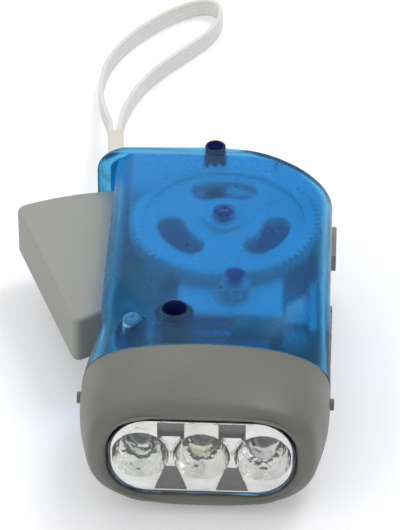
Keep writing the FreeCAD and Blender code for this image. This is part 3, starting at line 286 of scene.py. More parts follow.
class Nodes:
    """Short hand for wiring one node tree."""

    def __init__(self, tree: bpy.types.NodeTree) -> None:
        """Hold the tree that is being wired."""
        self.tree = tree

    def add(self, kind: str, **settings: object) -> bpy.types.Node:
        """A new node.

        Args:
            kind: Type of the node.
            settings: Properties to set on it.

        Returns:
            The node.
        """
        node = self.tree.nodes.new(kind)
        for name, value in settings.items():
            setattr(node, name, value)
        return node

    def feed(self, target: bpy.types.NodeSocket, value: object) -> None:
        """Give an input its value.

        Args:
            target: The input.
            value: Another node's output to join to it, or a plain value to set on it.
        """
        if isinstance(value, bpy.types.NodeSocket):
            self.tree.links.new(value, target)
        else:
            target.default_value = value

    def math(self, operation: str, first: object, second: object) -> bpy.types.NodeSocket:
        """A sum on two values, each a socket or a number.

        Args:
            operation: Name of the sum, as the Math node has it.
            first: First value.
            second: Second value.

        Returns:
            The result's socket.
        """
        node = self.add("ShaderNodeMath", operation=operation)
        self.feed(node.inputs[0], first)
        self.feed(node.inputs[1], second)
        return node.outputs[0]

    def wave(self, value: bpy.types.NodeSocket) -> bpy.types.NodeSocket:
        """Sine wave that repeats once for each whole step of a value.

        Args:
            value: Where along the wave.

        Returns:
            The wave's height from -1 to 1.
        """
        node = self.add("ShaderNodeMath", operation="SINE")
        self.feed(node.inputs[0], self.math("MULTIPLY", value, 2 * math.pi))
        return node.outputs[0]

    def noise(self, vector: bpy.types.NodeSocket, scale: object, detail: float) -> bpy.types.NodeSocket:
        """A noise value over a vector.

        Args:
            vector: Where the noise is read.
            scale: Features per metre, a socket or a number.
            detail: Octaves of finer noise.

        Returns:
            The noise's socket.
        """
        node = self.add("ShaderNodeTexNoise")
        node.inputs["Detail"].default_value = detail
        self.feed(node.inputs["Vector"], vector)
        self.feed(node.inputs["Scale"], scale)
        return node.outputs["Fac"]

    def ramp(self, value: bpy.types.NodeSocket, low: float, high: float) -> bpy.types.NodeSocket:
        """A value stretched to the range from 0 to 1.

        Args:
            value: The value.
            low: Value that gives 0.
            high: Value that gives 1.

        Returns:
            The stretched value's socket.
        """
        node = self.add("ShaderNodeMapRange")
        node.inputs["From Min"].default_value = low
        node.inputs["From Max"].default_value = high
        self.feed(node.inputs["Value"], value)
        return node.outputs["Result"]

    def mix(self, share: bpy.types.NodeSocket, first: object, second: object) -> bpy.types.NodeSocket:
        """Mix of two colours, each a socket or a plain colour.

        Args:
            share: Share of the second colour.
            first: First colour.
            second: Second colour.

        Returns:
            The mixed colour's socket.
        """
        node = self.add("ShaderNodeMix", data_type="RGBA")
        self.feed(node.inputs[0], share)
        for place, value in ((6, first), (7, second)):
            plain = not isinstance(value, bpy.types.NodeSocket)
            self.feed(node.inputs[place], rgba(value) if plain else value)
        return node.outputs[2]

    def effect(self, group: bpy.types.ShaderNodeTree, **values: float) -> bpy.types.bpy_prop_collection:
        """Place an effect group in a material with its own values.

        Args:
            group: The effect.
            values: Values of its inputs; _ stands for a space in an input's name.

        Returns:
            The effect's outputs.
        """
        node = self.add("ShaderNodeGroup", node_tree=group)
        for title, value in values.items():
            node.inputs[title.replace("_", " ")].default_value = value
        return node.outputs

    def bump(self, shader: bpy.types.Node, height: bpy.types.NodeSocket, depth: float) -> None:
        """Raise a shader's normal by a height.

        Args:
            shader: The node whose Normal takes it.
            height: Height from 0 to 1.
            depth: Depth in metres of a height of 1.
        """
        node = self.add("ShaderNodeBump")
        node.inputs["Distance"].default_value = depth
        node.inputs["Strength"].default_value = 1.0
        self.feed(node.inputs["Height"], height)
        self.feed(shader.inputs["Normal"], node.outputs["Normal"])

    def surface(self, result: bpy.types.NodeSocket) -> None:
        """Show a shader's result on the surface."""
        self.feed(self.tree.nodes["Material Output"].inputs["Surface"], result)


def open_group(name: str, inputs: dict[str, float], outputs: Sequence[str]) -> tuple[Nodes, bpy.types.Node]:
    """Start a shader node group with number inputs and number outputs.

    Args:
        name: Name of the group.
        inputs: Names of the inputs with their usual values.
        outputs: Names of the outputs.

    Returns:
        The group's wiring and its input node.
    """
    group = bpy.data.node_groups.new(name, "ShaderNodeTree")
    for title, value in inputs.items():
        socket = group.interface.new_socket(title, in_out="INPUT", socket_type="NodeSocketFloat")
        socket.default_value = value
    for title in outputs:
        group.interface.new_socket(title, in_out="OUTPUT", socket_type="NodeSocketFloat")
    wiring = Nodes(group)
    return wiring, wiring.add("NodeGroupInput")


def close_group(wiring: Nodes, *results: bpy.types.NodeSocket) -> bpy.types.ShaderNodeTree:
    """Join the results to a group's outputs.

    Args:
        wiring: The group's wiring.
        results: One socket for each output, in order.

    Returns:
        The finished group.
    """
    leave = wiring.add("NodeGroupOutput")
    for result, socket in zip(results, leave.inputs):
        wiring.feed(socket, result)
    return wiring.tree


@cache
def grain_effect() -> bpy.types.ShaderNodeTree:
    """Spark-eroded mould grain.

    Returns:
        Group with a fine height and a slow mottle over the object's own coordinates.
    """
    wiring, given = open_group(
        "Mould grain", {"Grain per metre": 3000.0, "Mottle per metre": 60.0}, ("Height", "Mottle")
    )
    place = wiring.add("ShaderNodeTexCoord").outputs["Object"]
    fine = wiring.noise(place, given.outputs["Grain per metre"], detail=2.0)
    slow = wiring.noise(place, given.outputs["Mottle per metre"], detail=4.0)
    return close_group(wiring, wiring.ramp(fine, *NOISE_REACH), wiring.ramp(slow, *NOISE_REACH))


@cache
def wear_effect() -> bpy.types.ShaderNodeTree:
    """Rubbed edges.

    Returns:
        Group with a mask on convex edges, broken up by noise.
    """
    patches_per_metre, patchiness = 400.0, 0.04
    unworn, worn = 0.5, 0.56
    wiring, given = open_group("Edge wear", {"Amount": 0.4}, ("Mask",))
    pointed = wiring.add("ShaderNodeNewGeometry").outputs["Pointiness"]
    place = wiring.add("ShaderNodeTexCoord").outputs["Object"]
    patchy = wiring.math("MULTIPLY", wiring.noise(place, patches_per_metre, detail=3.0), patchiness)
    edge = wiring.ramp(wiring.math("SUBTRACT", pointed, patchy), unworn, worn)
    mask = wiring.math("MULTIPLY", edge, given.outputs["Amount"])
    return close_group(wiring, wiring.math("MAXIMUM", mask, 0.0))


@cache
def scratch_effect() -> bpy.types.ShaderNodeTree:
    """Handling marks that change gloss.

    Returns:
        Group with thin short scratches and slow smears.
    """
    smears_per_metre = 70.0
    stretch, slant = (1.0, 0.12, 1.0), (0.1, 0.2, 0.5)
    scratch_reach, smear_reach = (0.62, 0.72), (0.35, 0.65)
    wiring, given = open_group("Handling marks", {"Scratches per metre": 900.0}, ("Scratches", "Smears"))
    place = wiring.add("ShaderNodeTexCoord").outputs["Object"]
    squeeze = wiring.add("ShaderNodeMapping")
    squeeze.inputs["Scale"].default_value = stretch
    squeeze.inputs["Rotation"].default_value = slant
    wiring.feed(squeeze.inputs["Vector"], place)
    lines = wiring.noise(squeeze.outputs["Vector"], given.outputs["Scratches per metre"], detail=2.0)
    smear = wiring.noise(place, smears_per_metre, detail=3.0)
    return close_group(wiring, wiring.ramp(lines, *scratch_reach), wiring.ramp(smear, *smear_reach))


@cache
def weave_effect() -> bpy.types.ShaderNodeTree:
    """Plain weave of a flat tape, as crossing waves along its length and across its width.

    Returns:
        Group with the weave's height and a mask of its raised threads.
    """
    warp_share, fuzz_per_metre, fuzz_share = 0.75, 4000.0, 0.5
    wiring, given = open_group(
        "Tape weave", {"Picks per metre": 900.0, "Ends per metre": 900.0}, ("Height", "Thread")
    )
    flat = wiring.add("ShaderNodeUVMap", uv_map="tape")
    parts = wiring.add("ShaderNodeSeparateXYZ")
    wiring.feed(parts.inputs["Vector"], flat.outputs["UV"])
    pick = wiring.wave(wiring.math("MULTIPLY", parts.outputs["X"], given.outputs["Picks per metre"]))
    warp = wiring.wave(wiring.math("MULTIPLY", parts.outputs["Y"], given.outputs["Ends per metre"]))
    crossed = wiring.math(
        "ADD", wiring.math("MULTIPLY", warp, warp_share), wiring.math("MULTIPLY", pick, 1 - warp_share)
    )
    height = wiring.ramp(crossed, -1.0, 1.0)
    fuzz = wiring.noise(wiring.add("ShaderNodeTexCoord").outputs["Object"], fuzz_per_metre, detail=2.0)
    fuzzy = wiring.math("ADD", height, wiring.math("MULTIPLY", fuzz, fuzz_share))
    return close_group(wiring, fuzzy, height)


@dataclass(frozen=True)
class Finish:
    """A named finish with its base colour; each kind of finish wires its own nodes."""

    name: str
    colour: Colour

    @cache
    def material(self) -> bpy.types.Material:
        """The finish as a material.

        Returns:
            The material, made on the first call.
        """
        made = bpy.data.materials.new(self.name)
        made.use_nodes = True
        self.wire(Nodes(made.node_tree), made.node_tree.nodes["Principled BSDF"])
        return made

    def wire(self, wiring: Nodes, shader: bpy.types.Node) -> None:
        """Wire the material around its shader node."""
        raise NotImplementedError

    def darker(self, loss: float) -> Colour:
        """The base colour less a share of its light."""
        return tuple(part * (1 - loss) for part in self.colour)


@dataclass(frozen=True)
class MouldedPlastic(Finish):
    """Opaque moulded plastic with a spark-eroded grain and rubbed edges."""

    roughness: float
    mottle: float = 0.12
    wear: float = 0.3
    grain_per_metre: float = 3000.0
    grain_depth: float = 0.00003
    smear: float = 0.10
    worn_gain: float = 1.35
    worn_lift: float = 0.02
    worn_palest: float = 0.9

    def wire(self, wiring: Nodes, shader: bpy.types.Node) -> None:
        """Wire the plastic.

        Args:
            wiring: The material's wiring.
            shader: Its Principled node.
        """
        grain = wiring.effect(grain_effect(), Grain_per_metre=self.grain_per_metre)
        worn = wiring.effect(wear_effect(), Amount=self.wear)
        marks = wiring.effect(scratch_effect())
        pale = tuple(min(part * self.worn_gain + self.worn_lift, self.worn_palest) for part in self.colour)
        tinted = wiring.mix(grain["Mottle"], self.darker(self.mottle), self.colour)
        wiring.feed(shader.inputs["Base Color"], wiring.mix(worn["Mask"], tinted, pale))
        smears = wiring.math("MULTIPLY", marks["Smears"], self.smear)
        wiring.feed(shader.inputs["Roughness"], wiring.math("ADD", smears, self.roughness - self.smear / 2))
        wiring.bump(shader, grain["Height"], self.grain_depth)


@dataclass(frozen=True)
class ClearPlastic(Finish):
    """See-through moulded plastic, clear or tinted, that also lets lamps through."""

    roughness: float
    ior: float = 1.45
    depth: float = 1.0
    lamp_share: float = 0.9
    lamp_tint: Colour = (1.0, 1.0, 1.0)
    smear: float = 0.05
    coat: float = 0.5
    coat_roughness: float = 0.06
    cloud: float = 0.07
    clouds_per_metre: float = 45.0

    def wire(self, wiring: Nodes, shader: bpy.types.Node) -> None:
        """Wire the plastic.

        Args:
            wiring: The material's wiring.
            shader: Its Principled node.
        """
        marks = wiring.effect(scratch_effect())
        clouds = wiring.effect(grain_effect(), Mottle_per_metre=self.clouds_per_metre)
        tinted = wiring.mix(clouds["Mottle"], self.colour, self.darker(self.cloud))
        wiring.feed(shader.inputs["Base Color"], tinted)
        smears = wiring.math("MULTIPLY", marks["Smears"], self.smear)
        wiring.feed(shader.inputs["Roughness"], wiring.math("ADD", smears, self.roughness))
        shader.inputs["IOR"].default_value = self.ior
        shader.inputs["Transmission Weight"].default_value = self.depth
        shader.inputs["Coat Weight"].default_value = self.coat
        shader.inputs["Coat Roughness"].default_value = self.coat_roughness
        pane = wiring.add("ShaderNodeBsdfTransparent")
        pane.inputs["Color"].default_value = rgba(self.lamp_tint)
        lamps = wiring.add("ShaderNodeLightPath").outputs["Is Shadow Ray"]
        blend = wiring.add("ShaderNodeMixShader")
        wiring.feed(blend.inputs[0], wiring.math("MULTIPLY", lamps, self.lamp_share))
        wiring.feed(blend.inputs[1], shader.outputs[0])
        wiring.feed(blend.inputs[2], pane.outputs[0])
        wiring.surface(blend.outputs[0])


@dataclass(frozen=True)
class BareMetal(Finish):
    """Plain or plated metal with handling marks in its gloss."""

    roughness: float
    marks_per_metre: float = 1200.0
    ripple: float = 0.0
    ripples_per_metre: float = 380.0
    tarnish: float = 0.15
    tarnish_per_metre: float = 150.0
    scuff: float = 0.12
    smear: float = 0.05

    def wire(self, wiring: Nodes, shader: bpy.types.Node) -> None:
        """Wire the metal.

        Args:
            wiring: The material's wiring.
            shader: Its Principled node.
        """
        marks = wiring.effect(scratch_effect(), Scratches_per_metre=self.marks_per_metre)
        dull = wiring.effect(grain_effect(), Mottle_per_metre=self.tarnish_per_metre)
        wiring.feed(
            shader.inputs["Base Color"], wiring.mix(dull["Mottle"], self.colour, self.darker(self.tarnish))
        )
        scuffed = wiring.math("MULTIPLY", marks["Scratches"], self.scuff)
        smeared = wiring.math("MULTIPLY", marks["Smears"], self.smear)
        marked = wiring.math("ADD", scuffed, smeared)
        wiring.feed(shader.inputs["Roughness"], wiring.math("ADD", marked, self.roughness))
        shader.inputs["Metallic"].default_value = 1.0
        if self.ripple > 0:
            waves = wiring.effect(grain_effect(), Grain_per_metre=self.ripples_per_metre)
            wiring.bump(shader, waves["Height"], self.ripple)


@dataclass(frozen=True)
class WovenTape(Finish):
    """Woven polyester with a soft sheen, as flat tape or round string."""

    # Colour of the weave's low threads: painted shade in the hollows between threads.
    shade: Colour
    picks_per_metre: float = 1100.0
    ends_per_metre: float = 900.0
    depth: float = 0.00012
    soil: float = 0.1
    soil_share: float = 0.35
    soil_per_metre: float = 90.0
    roughness: float = 0.85
    sheen: float = 0.35
    sheen_roughness: float = 0.5

    def wire(self, wiring: Nodes, shader: bpy.types.Node) -> None:
        """Wire the weave.

        Args:
            wiring: The material's wiring.
            shader: Its Principled node.
        """
        weave = wiring.effect(
            weave_effect(), Picks_per_metre=self.picks_per_metre, Ends_per_metre=self.ends_per_metre
        )
        soiled = wiring.effect(grain_effect(), Mottle_per_metre=self.soil_per_metre)
        # Low threads take the darker colour, as painted shade in the weave's hollows.
        clean = wiring.mix(weave["Thread"], self.shade, self.colour)
        spots = wiring.math("MULTIPLY", soiled["Mottle"], self.soil_share)
        wiring.feed(shader.inputs["Base Color"], wiring.mix(spots, clean, self.darker(self.soil)))
        shader.inputs["Roughness"].default_value = self.roughness
        shader.inputs["Sheen Weight"].default_value = self.sheen
        shader.inputs["Sheen Roughness"].default_value = self.sheen_roughness
        wiring.bump(shader, weave["Height"], self.depth)


@dataclass(frozen=True)
class FloorPaint(Finish):
    """Pale matt floor that looks a little brighter where it is seen or mirrored."""

    glow: float
    roughness: float = 0.7
    gloss: float = 0.2

    def wire(self, wiring: Nodes, shader: bpy.types.Node) -> None:
        """Wire the floor.

        Args:
            wiring: The material's wiring.
            shader: Its Principled node.
        """
        shader.inputs["Base Color"].default_value = rgba(self.colour)
        shader.inputs["Roughness"].default_value = self.roughness
        shader.inputs["Specular IOR Level"].default_value = self.gloss
        rays = wiring.add("ShaderNodeLightPath")
        seen = wiring.math("MAXIMUM", rays.outputs["Is Camera Ray"], rays.outputs["Is Glossy Ray"])
        bright = wiring.add("ShaderNodeEmission")
        bright.inputs["Color"].default_value = rgba(self.colour)
        wiring.feed(bright.inputs["Strength"], wiring.math("MULTIPLY", seen, self.glow))
        both = wiring.add("ShaderNodeAddShader")
        wiring.feed(both.inputs[0], shader.outputs[0])
        wiring.feed(both.inputs[1], bright.outputs[0])
        wiring.surface(both.outputs[0])


FLOOR_WHITE = FloorPaint("floor_white", (0.90, 0.905, 0.92), glow=0.26)
CASE_BLUE = ClearPlastic(
    "case_blue", (0.10, 0.48, 0.79), 0.25, ior=1.18, depth=0.96, lamp_tint=(0.19, 0.67, 0.93), coat=0.0
)
# Lower half: the case blue made much darker, as painted shade for the shadowed underside.
CASE_BLUE_LOWER_SHADED = ClearPlastic(
    "case_blue_lower", (0.045, 0.11, 0.32), 0.28, ior=1.22, depth=0.8, lamp_share=0.1,
    lamp_tint=(0.10, 0.30, 0.70), coat=0.1,
)
# Near-black blue for the screw wells: painted shade inside the recesses.
CASE_WELL_SHADE = ClearPlastic(
    "case_blue_well", (0.015, 0.03, 0.17), 0.3, ior=1.2, depth=0.55, lamp_share=0.1,
    lamp_tint=(0.05, 0.10, 0.4), coat=0.1,
)
CASE_BOSS = ClearPlastic(
    "case_blue_boss", (0.10, 0.16, 0.50), 0.3, ior=1.2, depth=0.9, lamp_share=0.3,
    lamp_tint=(0.10, 0.20, 0.6), coat=0.0,
)
CASE_PLUG = ClearPlastic(
    "case_blue_plug", (0.07, 0.33, 0.62), 0.3, ior=1.2, depth=0.35, lamp_share=0.3,
    lamp_tint=(0.10, 0.30, 0.6), coat=0.0,
)
GRIP_GREY = MouldedPlastic("grip_grey", (0.163, 0.167, 0.140), 0.42, mottle=0.10, wear=0.25)
LENS_CLEAR = ClearPlastic("clear_lens", (0.97, 0.98, 0.97), 0.02, ior=1.35, smear=0.03)
LAMP_CLEAR = ClearPlastic("lamp_clear", (0.95, 0.97, 0.98), 0.03, smear=0.02)
LAMP_WARM = ClearPlastic("lamp_warm", (0.95, 0.95, 0.78), 0.05, smear=0.02)
CHROME = BareMetal("bright_chrome", (0.95, 0.95, 0.93), 0.05, ripple=0.00014)
# Dark chrome: painted shade inside the sunk pockets between the cups.
CHROME_PAINTED_SHADE = BareMetal("chrome_shade", (0.16, 0.16, 0.155), 0.35)
GEAR_WHITE = MouldedPlastic("gear_white", (0.80, 0.81, 0.80), 0.38, mottle=0.05, wear=0.0)
COVER_WHITE = MouldedPlastic("cover_white", (0.78, 0.80, 0.78), 0.45, mottle=0.06, wear=0.0)
STEEL = BareMetal("steel_pin", (0.16, 0.17, 0.20), 0.5)
STATOR = BareMetal("stator_steel", (0.42, 0.42, 0.43), 0.4)
CELL_STEEL = BareMetal("cell_steel", (0.30, 0.30, 0.30), 0.45)
MAGNET = MouldedPlastic("magnet_dark", (0.045, 0.045, 0.05), 0.5, wear=0.1)
COPPER = BareMetal("coil_copper", (0.75, 0.34, 0.16), 0.35, marks_per_metre=4000.0)
CRADLE = MouldedPlastic("cradle_black", (0.03, 0.03, 0.033), 0.5, wear=0.1)
BOARD = MouldedPlastic("board_green", (0.04, 0.20, 0.07), 0.4, wear=0.0)
KNOB = MouldedPlastic("knob_grey", (0.215, 0.22, 0.185), 0.4, wear=0.3)
FERRULE = MouldedPlastic("ferrule_cream", (0.78, 0.76, 0.64), 0.4, mottle=0.1, wear=0.1)
# The third colour of each tape is painted shade for its weave's low threads.
STRAP = WovenTape("strap_white", (0.93, 0.93, 0.88), (0.78, 0.79, 0.75))
STRING = WovenTape("strap_string_white", (0.84, 0.84, 0.78), (0.55, 0.56, 0.52), 1500.0, 1500.0, 0.00006)
PHOSPHOR = MouldedPlastic("phosphor_yellow", (0.80, 0.74, 0.22), 0.5, wear=0.0)


@dataclass
class Studio:
    """Pale floor, soft lamps, world and the camera at the photograph's angle."""

    eye: Point = (0.025376, -0.613532, 0.485518)
    heading: float = 2.6
    drop: float = 36.5
    lens: float = 234.0
    sensor: float = 36.0
    nearest: float = 0.01
    floor_span: float = 4.0
    ambient: float = 0.62
    first_bounce: float = 0.5
    gloss_turn: float = 0.9
    gloss_least: float = 0.25
    gloss_gain: float = 0.5
    aim: Point = (0.0, 0.02, 0.01)
    lamps: Sequence[tuple[str, Point, float, float]] = (
        ("key_lamp", (0.45, 0.45, 1.15), 4.6, 0.55),
        ("fill_lamp", (-0.9, -0.7, 0.8), 2.2, 0.9),
        ("rim_lamp", (-0.3, 0.9, 0.7), 1.2, 0.6),
    )

    def build(self) -> None:
        """Make the camera, the floor, the world and the lamps."""
        self.camera()
        self.floor()
        self.world()
        for name, place, watts, span in self.lamps:
            self.lamp(name, place, watts, span)

    def camera(self) -> None:
        """Camera that looks down along the torch from the front."""
        turn, drop = math.radians(self.heading), math.radians(self.drop)
        right = Vector((math.cos(turn), math.sin(turn), 0))
        ahead = Vector((-math.sin(turn) * math.cos(drop), math.cos(turn) * math.cos(drop), -math.sin(drop)))
        up = right.cross(ahead)
        data = bpy.data.cameras.new("photo_camera")
        data.lens = self.lens
        data.sensor_width = self.sensor
        data.clip_start = self.nearest
        camera = link("photo_camera", data)
        place = Matrix((right, up, -ahead)).transposed().to_4x4()
        place.translation = Vector(self.eye)
        camera.matrix_world = place
        bpy.context.scene.camera = camera

    def floor(self) -> None:
        """Plain pale floor that keeps the object's shadow."""
        half = self.floor_span / 2
        mesh = bpy.data.meshes.new("floor")
        corners = [(-half, -half, 0), (half, -half, 0), (half, half, 0), (-half, half, 0)]
        mesh.from_pydata(corners, [], [(0, 1, 2, 3)])
        dress(link("floor", mesh), FLOOR_WHITE.material())

    def world(self) -> None:
        """White surroundings, softer as a light, and greyer in gloss toward the viewer and below."""
        world = bpy.data.worlds.new("studio")
        bpy.context.scene.world = world
        world.use_nodes = True
        wiring = Nodes(world.node_tree)
        back = world.node_tree.nodes["Background"]
        rays = wiring.add("ShaderNodeLightPath").outputs
        straight = wiring.math("LESS_THAN", rays["Diffuse Depth"], self.first_bounce)
        through = wiring.math("MULTIPLY", rays["Is Transmission Ray"], straight)
        clear = wiring.math("MAXIMUM", rays["Is Camera Ray"], through)
        way = wiring.add("ShaderNodeSeparateXYZ")
        wiring.feed(way.inputs["Vector"], wiring.add("ShaderNodeTexCoord").outputs["Generated"])
        slant = wiring.math("ADD", way.outputs["Y"], way.outputs["Z"])
        facing = wiring.ramp(slant, -self.gloss_turn, self.gloss_turn)
        sheen = wiring.math("ADD", wiring.math("MULTIPLY", facing, self.gloss_gain), self.gloss_least)
        strength = wiring.math("ADD", clear, wiring.math("MULTIPLY", rays["Is Glossy Ray"], sheen))
        strength = wiring.math("MINIMUM", strength, 1.0)
        wiring.feed(back.inputs["Strength"], wiring.math("MAXIMUM", strength, self.ambient))
        back.inputs["Color"].default_value = (1.0, 1.0, 1.0, 1.0)

    def lamp(self, name: str, place: Point, watts: float, span: float) -> None:
        """Soft square lamp aimed at the torch.

        Args:
            name: Name of the lamp.
            place: Where it hangs, in metres.
            watts: Its power.
            span: Its side in metres.
        """
        data = bpy.data.lights.new(name, "AREA")
        data.energy = watts
        data.size = span
        lamp = link(name, data)
        lamp.location = place
        lamp.rotation_euler = (Vector(self.aim) - Vector(place)).to_track_quat("-Z", "Y").to_euler()


def between(table: Sequence[tuple[float, ...]], place: float) -> tuple[float, ...]:
    """Smooth values between the rows of a table whose first column rises.

    Args:
        table: Rows of a place and its values.
        place: Where the values are wanted, held to the table's ends.

    Returns:
        The values at that place.
    """
    place = min(max(place, table[0][0]), table[-1][0])
    last = len(table) - 1
    index = next(row for row in range(1, last + 1) if table[row][0] >= place)
    low, high = table[index - 1], table[index]
    before, after = table[max(index - 2, 0)], table[min(index + 1, last)]
    span = high[0] - low[0]
    share = (place - low[0]) / span
    values = []
    for column in range(1, len(low)):
        leaving = (high[column] - before[column]) / (high[0] - before[0]) * span
        arriving = (after[column] - low[column]) / (after[0] - low[0]) * span
        level = low[column] + (high[column] - low[column]) * eased(share)
        bend = (share ** 3 - 2 * share ** 2 + share) * leaving + (share ** 3 - share ** 2) * arriving
        values.append(level + bend)
    return tuple(values)


@dataclass
class Bezel:
    """Head shell: oval sections that close to a rounded rim, a sunk window and a hollow behind its ledge.

    Sizes are in millimetres, and depths are counted from the crown of the seam, with the rim at minus the
    length.
    """

    side: float = 27.2
    half_height: float = 15.55
    length: float = 20.4
    wall: float = 1.8
    seam_bow: float = 4.0
    crown: float = -28.8
    middle: float = 15.6
    window_half: tuple[float, float] = (20.4, 10.4)
    window_corner: float = 9.0
    lip_round: float = 1.3
    lip_steps: int = 5
    lens_setback: float = 4.02
    pane_setback: float = 0.75
    pane_gap: float = 0.3
    pane_wall: float = 0.7
    pane_cap: float = 6.0
    pane_bevel: float = 0.3
    flange_reach: float = 2.2
    flange_thickness: float = 1.5
    skirt_front: float = 1.55
    skirt_back: float = 6.2
    skirt_gap: float = 0.05
    skirt_wall: float = 0.3
    around: int = 176
    wall_steps: int = 30
    wall_bunching: float = 1.4
    farthest: float = 2.0
    halvings: int = 30
    drawn_in: Sequence[tuple[float, float, float, float]] = (
        (-1.0, 5.2, 3.85, 2.8), (-0.93, 3.1, 1.95, 2.8), (-0.8, 1.9, 1.05, 2.7),
        (-0.45, 0.3, 0.2, 2.4), (0.0, 0.0, 0.0, 2.2), (0.4, 0.1, 0.0, 2.15),
    )

    def outline(self, depth: float, inset: float) -> list[Point]:
        """Ring of the oval section at a depth.

        Args:
            depth: Depth of the section.
            inset: How far the ring is drawn in.

        Returns:
            The ring's points.
        """
        across, up, power = between(self.drawn_in, depth / self.length)
        half_x = self.side - across - inset
        half_z = self.half_height - up - inset
        ring = []
        for step in range(self.around):
            turn = 2 * math.pi * (step + 0.5) / self.around
            along, rise = math.cos(turn), math.sin(turn)
            x = half_x * math.copysign(abs(along) ** (2 / power), along)
            z = half_z * math.copysign(abs(rise) ** (2 / power), rise)
            ring.append((x, depth, z))
        return ring

    def off_window(self, x: float, z: float) -> float:
        """How far a place lies outside the window's rounded outline, less than zero inside it.

        Args:
            x: Distance across from the window's middle.
            z: Height above the window's middle.

        Returns:
            The distance.
        """
        over_x = abs(x) - (self.window_half[0] - self.window_corner)
        over_z = abs(z) - (self.window_half[1] - self.window_corner)
        beyond = math.hypot(max(over_x, 0.0), max(over_z, 0.0))
        return beyond + min(max(over_x, over_z), 0.0) - self.window_corner

    def window_ring(self, depth: float, grown: float, like: Sequence[Point]) -> list[Point]:
        """Ring of the window's outline, each point in line with one of another ring.

        Args:
            depth: Depth of the ring.
            grown: How far outside the window's edge the ring lies.
            like: The ring whose bearings it keeps.

        Returns:
            The ring's points.
        """
        ring = []
        for x, _, z in like:
            low, high = 0.0, self.farthest
            for _ in range(self.halvings):
                share = (low + high) / 2
                if self.off_window(x * share, z * share) > grown:
                    high = share
                else:
                    low = share
            ring.append((x * low, depth, z * low))
        return ring

    def seam_depth(self, high: float) -> float:
        """Depth of the bowed seam.

        Args:
            high: Height above the head's middle line.

        Returns:
            The depth there.
        """
        reach = self.middle
        radius = (reach ** 2 + self.seam_bow ** 2) / (2 * self.seam_bow)
        return self.seam_bow - radius + math.sqrt(radius ** 2 - min(abs(high), reach) ** 2)

    def wall_rings(self, inset: float, front: float) -> list[list[Point]]:
        """Rings of one wall from the seam forward.

        Args:
            inset: How far inside the outer surface the wall lies.
            front: Depth of the last ring.

        Returns:
            The rings, closer together toward the front.
        """
        rings = []
        for step in range(self.wall_steps + 1):
            share = (1 - step / self.wall_steps) ** self.wall_bunching
            ring = self.outline(front * (1 - share), inset)
            rings.append([(x, front + (self.seam_depth(z) - front) * share, z) for x, _, z in ring])
        return rings

    def placed(self, rings: Sequence[Sequence[Point]]) -> list[list[Point]]:
        """Rings moved from the head's own middle to the object's frame."""
        return [[(x, y + self.crown, z + self.middle) for x, y, z in ring] for ring in rings]

    def shell(self) -> bpy.types.Object:
        """The bezel as one closed piece.

        Returns:
            The new object.
        """
        rim = -self.length
        rings = self.wall_rings(0.0, rim)
        front = rings[-1]
        for step in range(self.lip_steps + 1):
            turn = math.pi / 2 * step / self.lip_steps
            sunk, grown = self.lip_round * (1 - math.cos(turn)), self.lip_round * (1 - math.sin(turn))
            rings.append(self.window_ring(rim + sunk, grown, front))
        ledge = rim + self.lens_setback
        rings.append(self.window_ring(ledge, 0.0, front))
        rings.extend(reversed(self.wall_rings(self.wall, ledge)))
        return skin_rings("bezel_shell", self.placed(rings), crease=50.0, wrap=True)

    def window_piece(
        self, name: str, profile: Sequence[tuple[float, float]], wrap: bool
    ) -> bpy.types.Object:
        """A piece whose rings follow the window's outline.

        Args:
            name: Name of the piece.
            profile: Pairs of a ring's depth behind the rim and how far outside the window's edge it lies.
            wrap: Join the last ring to the first; otherwise both get a cap.

        Returns:
            The new object.
        """
        rim = -self.length
        like = self.outline(rim, 0.0)
        rings = [self.window_ring(rim + sunk, grown, like) for sunk, grown in profile]
        return skin_rings(name, self.placed(rings), crease=30.0, wrap=wrap)

    def pane(self) -> bpy.types.Object:
        """Clear lens: a flange behind the ledge and a raised pane that stands in the window.

        Returns:
            The new object.
        """
        front, ledge, wall, soft = self.pane_setback, self.lens_setback, self.pane_wall, self.pane_wall / 2
        bevel, back = self.pane_bevel * soft, self.lens_setback + self.flange_thickness
        outer, inner = -self.pane_gap, -self.pane_gap - wall
        return self.window_piece(
            "lens_pane",
            (
                (front, outer - soft - self.pane_cap), (front, outer - soft), (front + bevel, outer - bevel),
                (front + soft, outer), (ledge, outer), (ledge, self.flange_reach), (back, self.flange_reach),
                (back, inner), (front + wall, inner), (front + wall, inner - self.pane_cap),
            ),
            wrap=False,
        )

    def skirt(self) -> bpy.types.Object:
        """Plated skirt that runs back from the reflector's edge, inside the lens.

        Returns:
            The new object.
        """
        outer = -self.pane_gap - self.pane_wall - self.skirt_gap
        inner = outer - self.skirt_wall
        front, back = self.skirt_front, self.skirt_back
        return self.window_piece(
            "reflector_skirt", ((front, outer), (back, outer), (back, inner), (front, inner)), wrap=True
        )


@dataclass(frozen=True)
class LeadPart:
    """Turned part inside a lamp, in millimetres: pairs of radius and depth behind the lamp's tip."""

    name: str
    finish: Finish
    aside: float
    facets: int
    profile: Sequence[tuple[float, float]]

    def build(self, lamp: str, spot: Vector, tip: float) -> None:
        """Make and seat the part.

        Args:
            lamp: Node of the lamp.
            spot: Where the lamp's axis crosses y = 0, in metres.
            tip: Where the lamp's tip stands along Y, in metres.
        """
        profile = [(radius * MM, tip + depth * MM) for radius, depth in self.profile]
        part = lathe(f"{lamp}_{self.name}", profile, spot + Vector((self.aside * MM, 0, 0)), self.facets)
        seat(dress(part, self.finish.material()), lamp, stands_in=False)


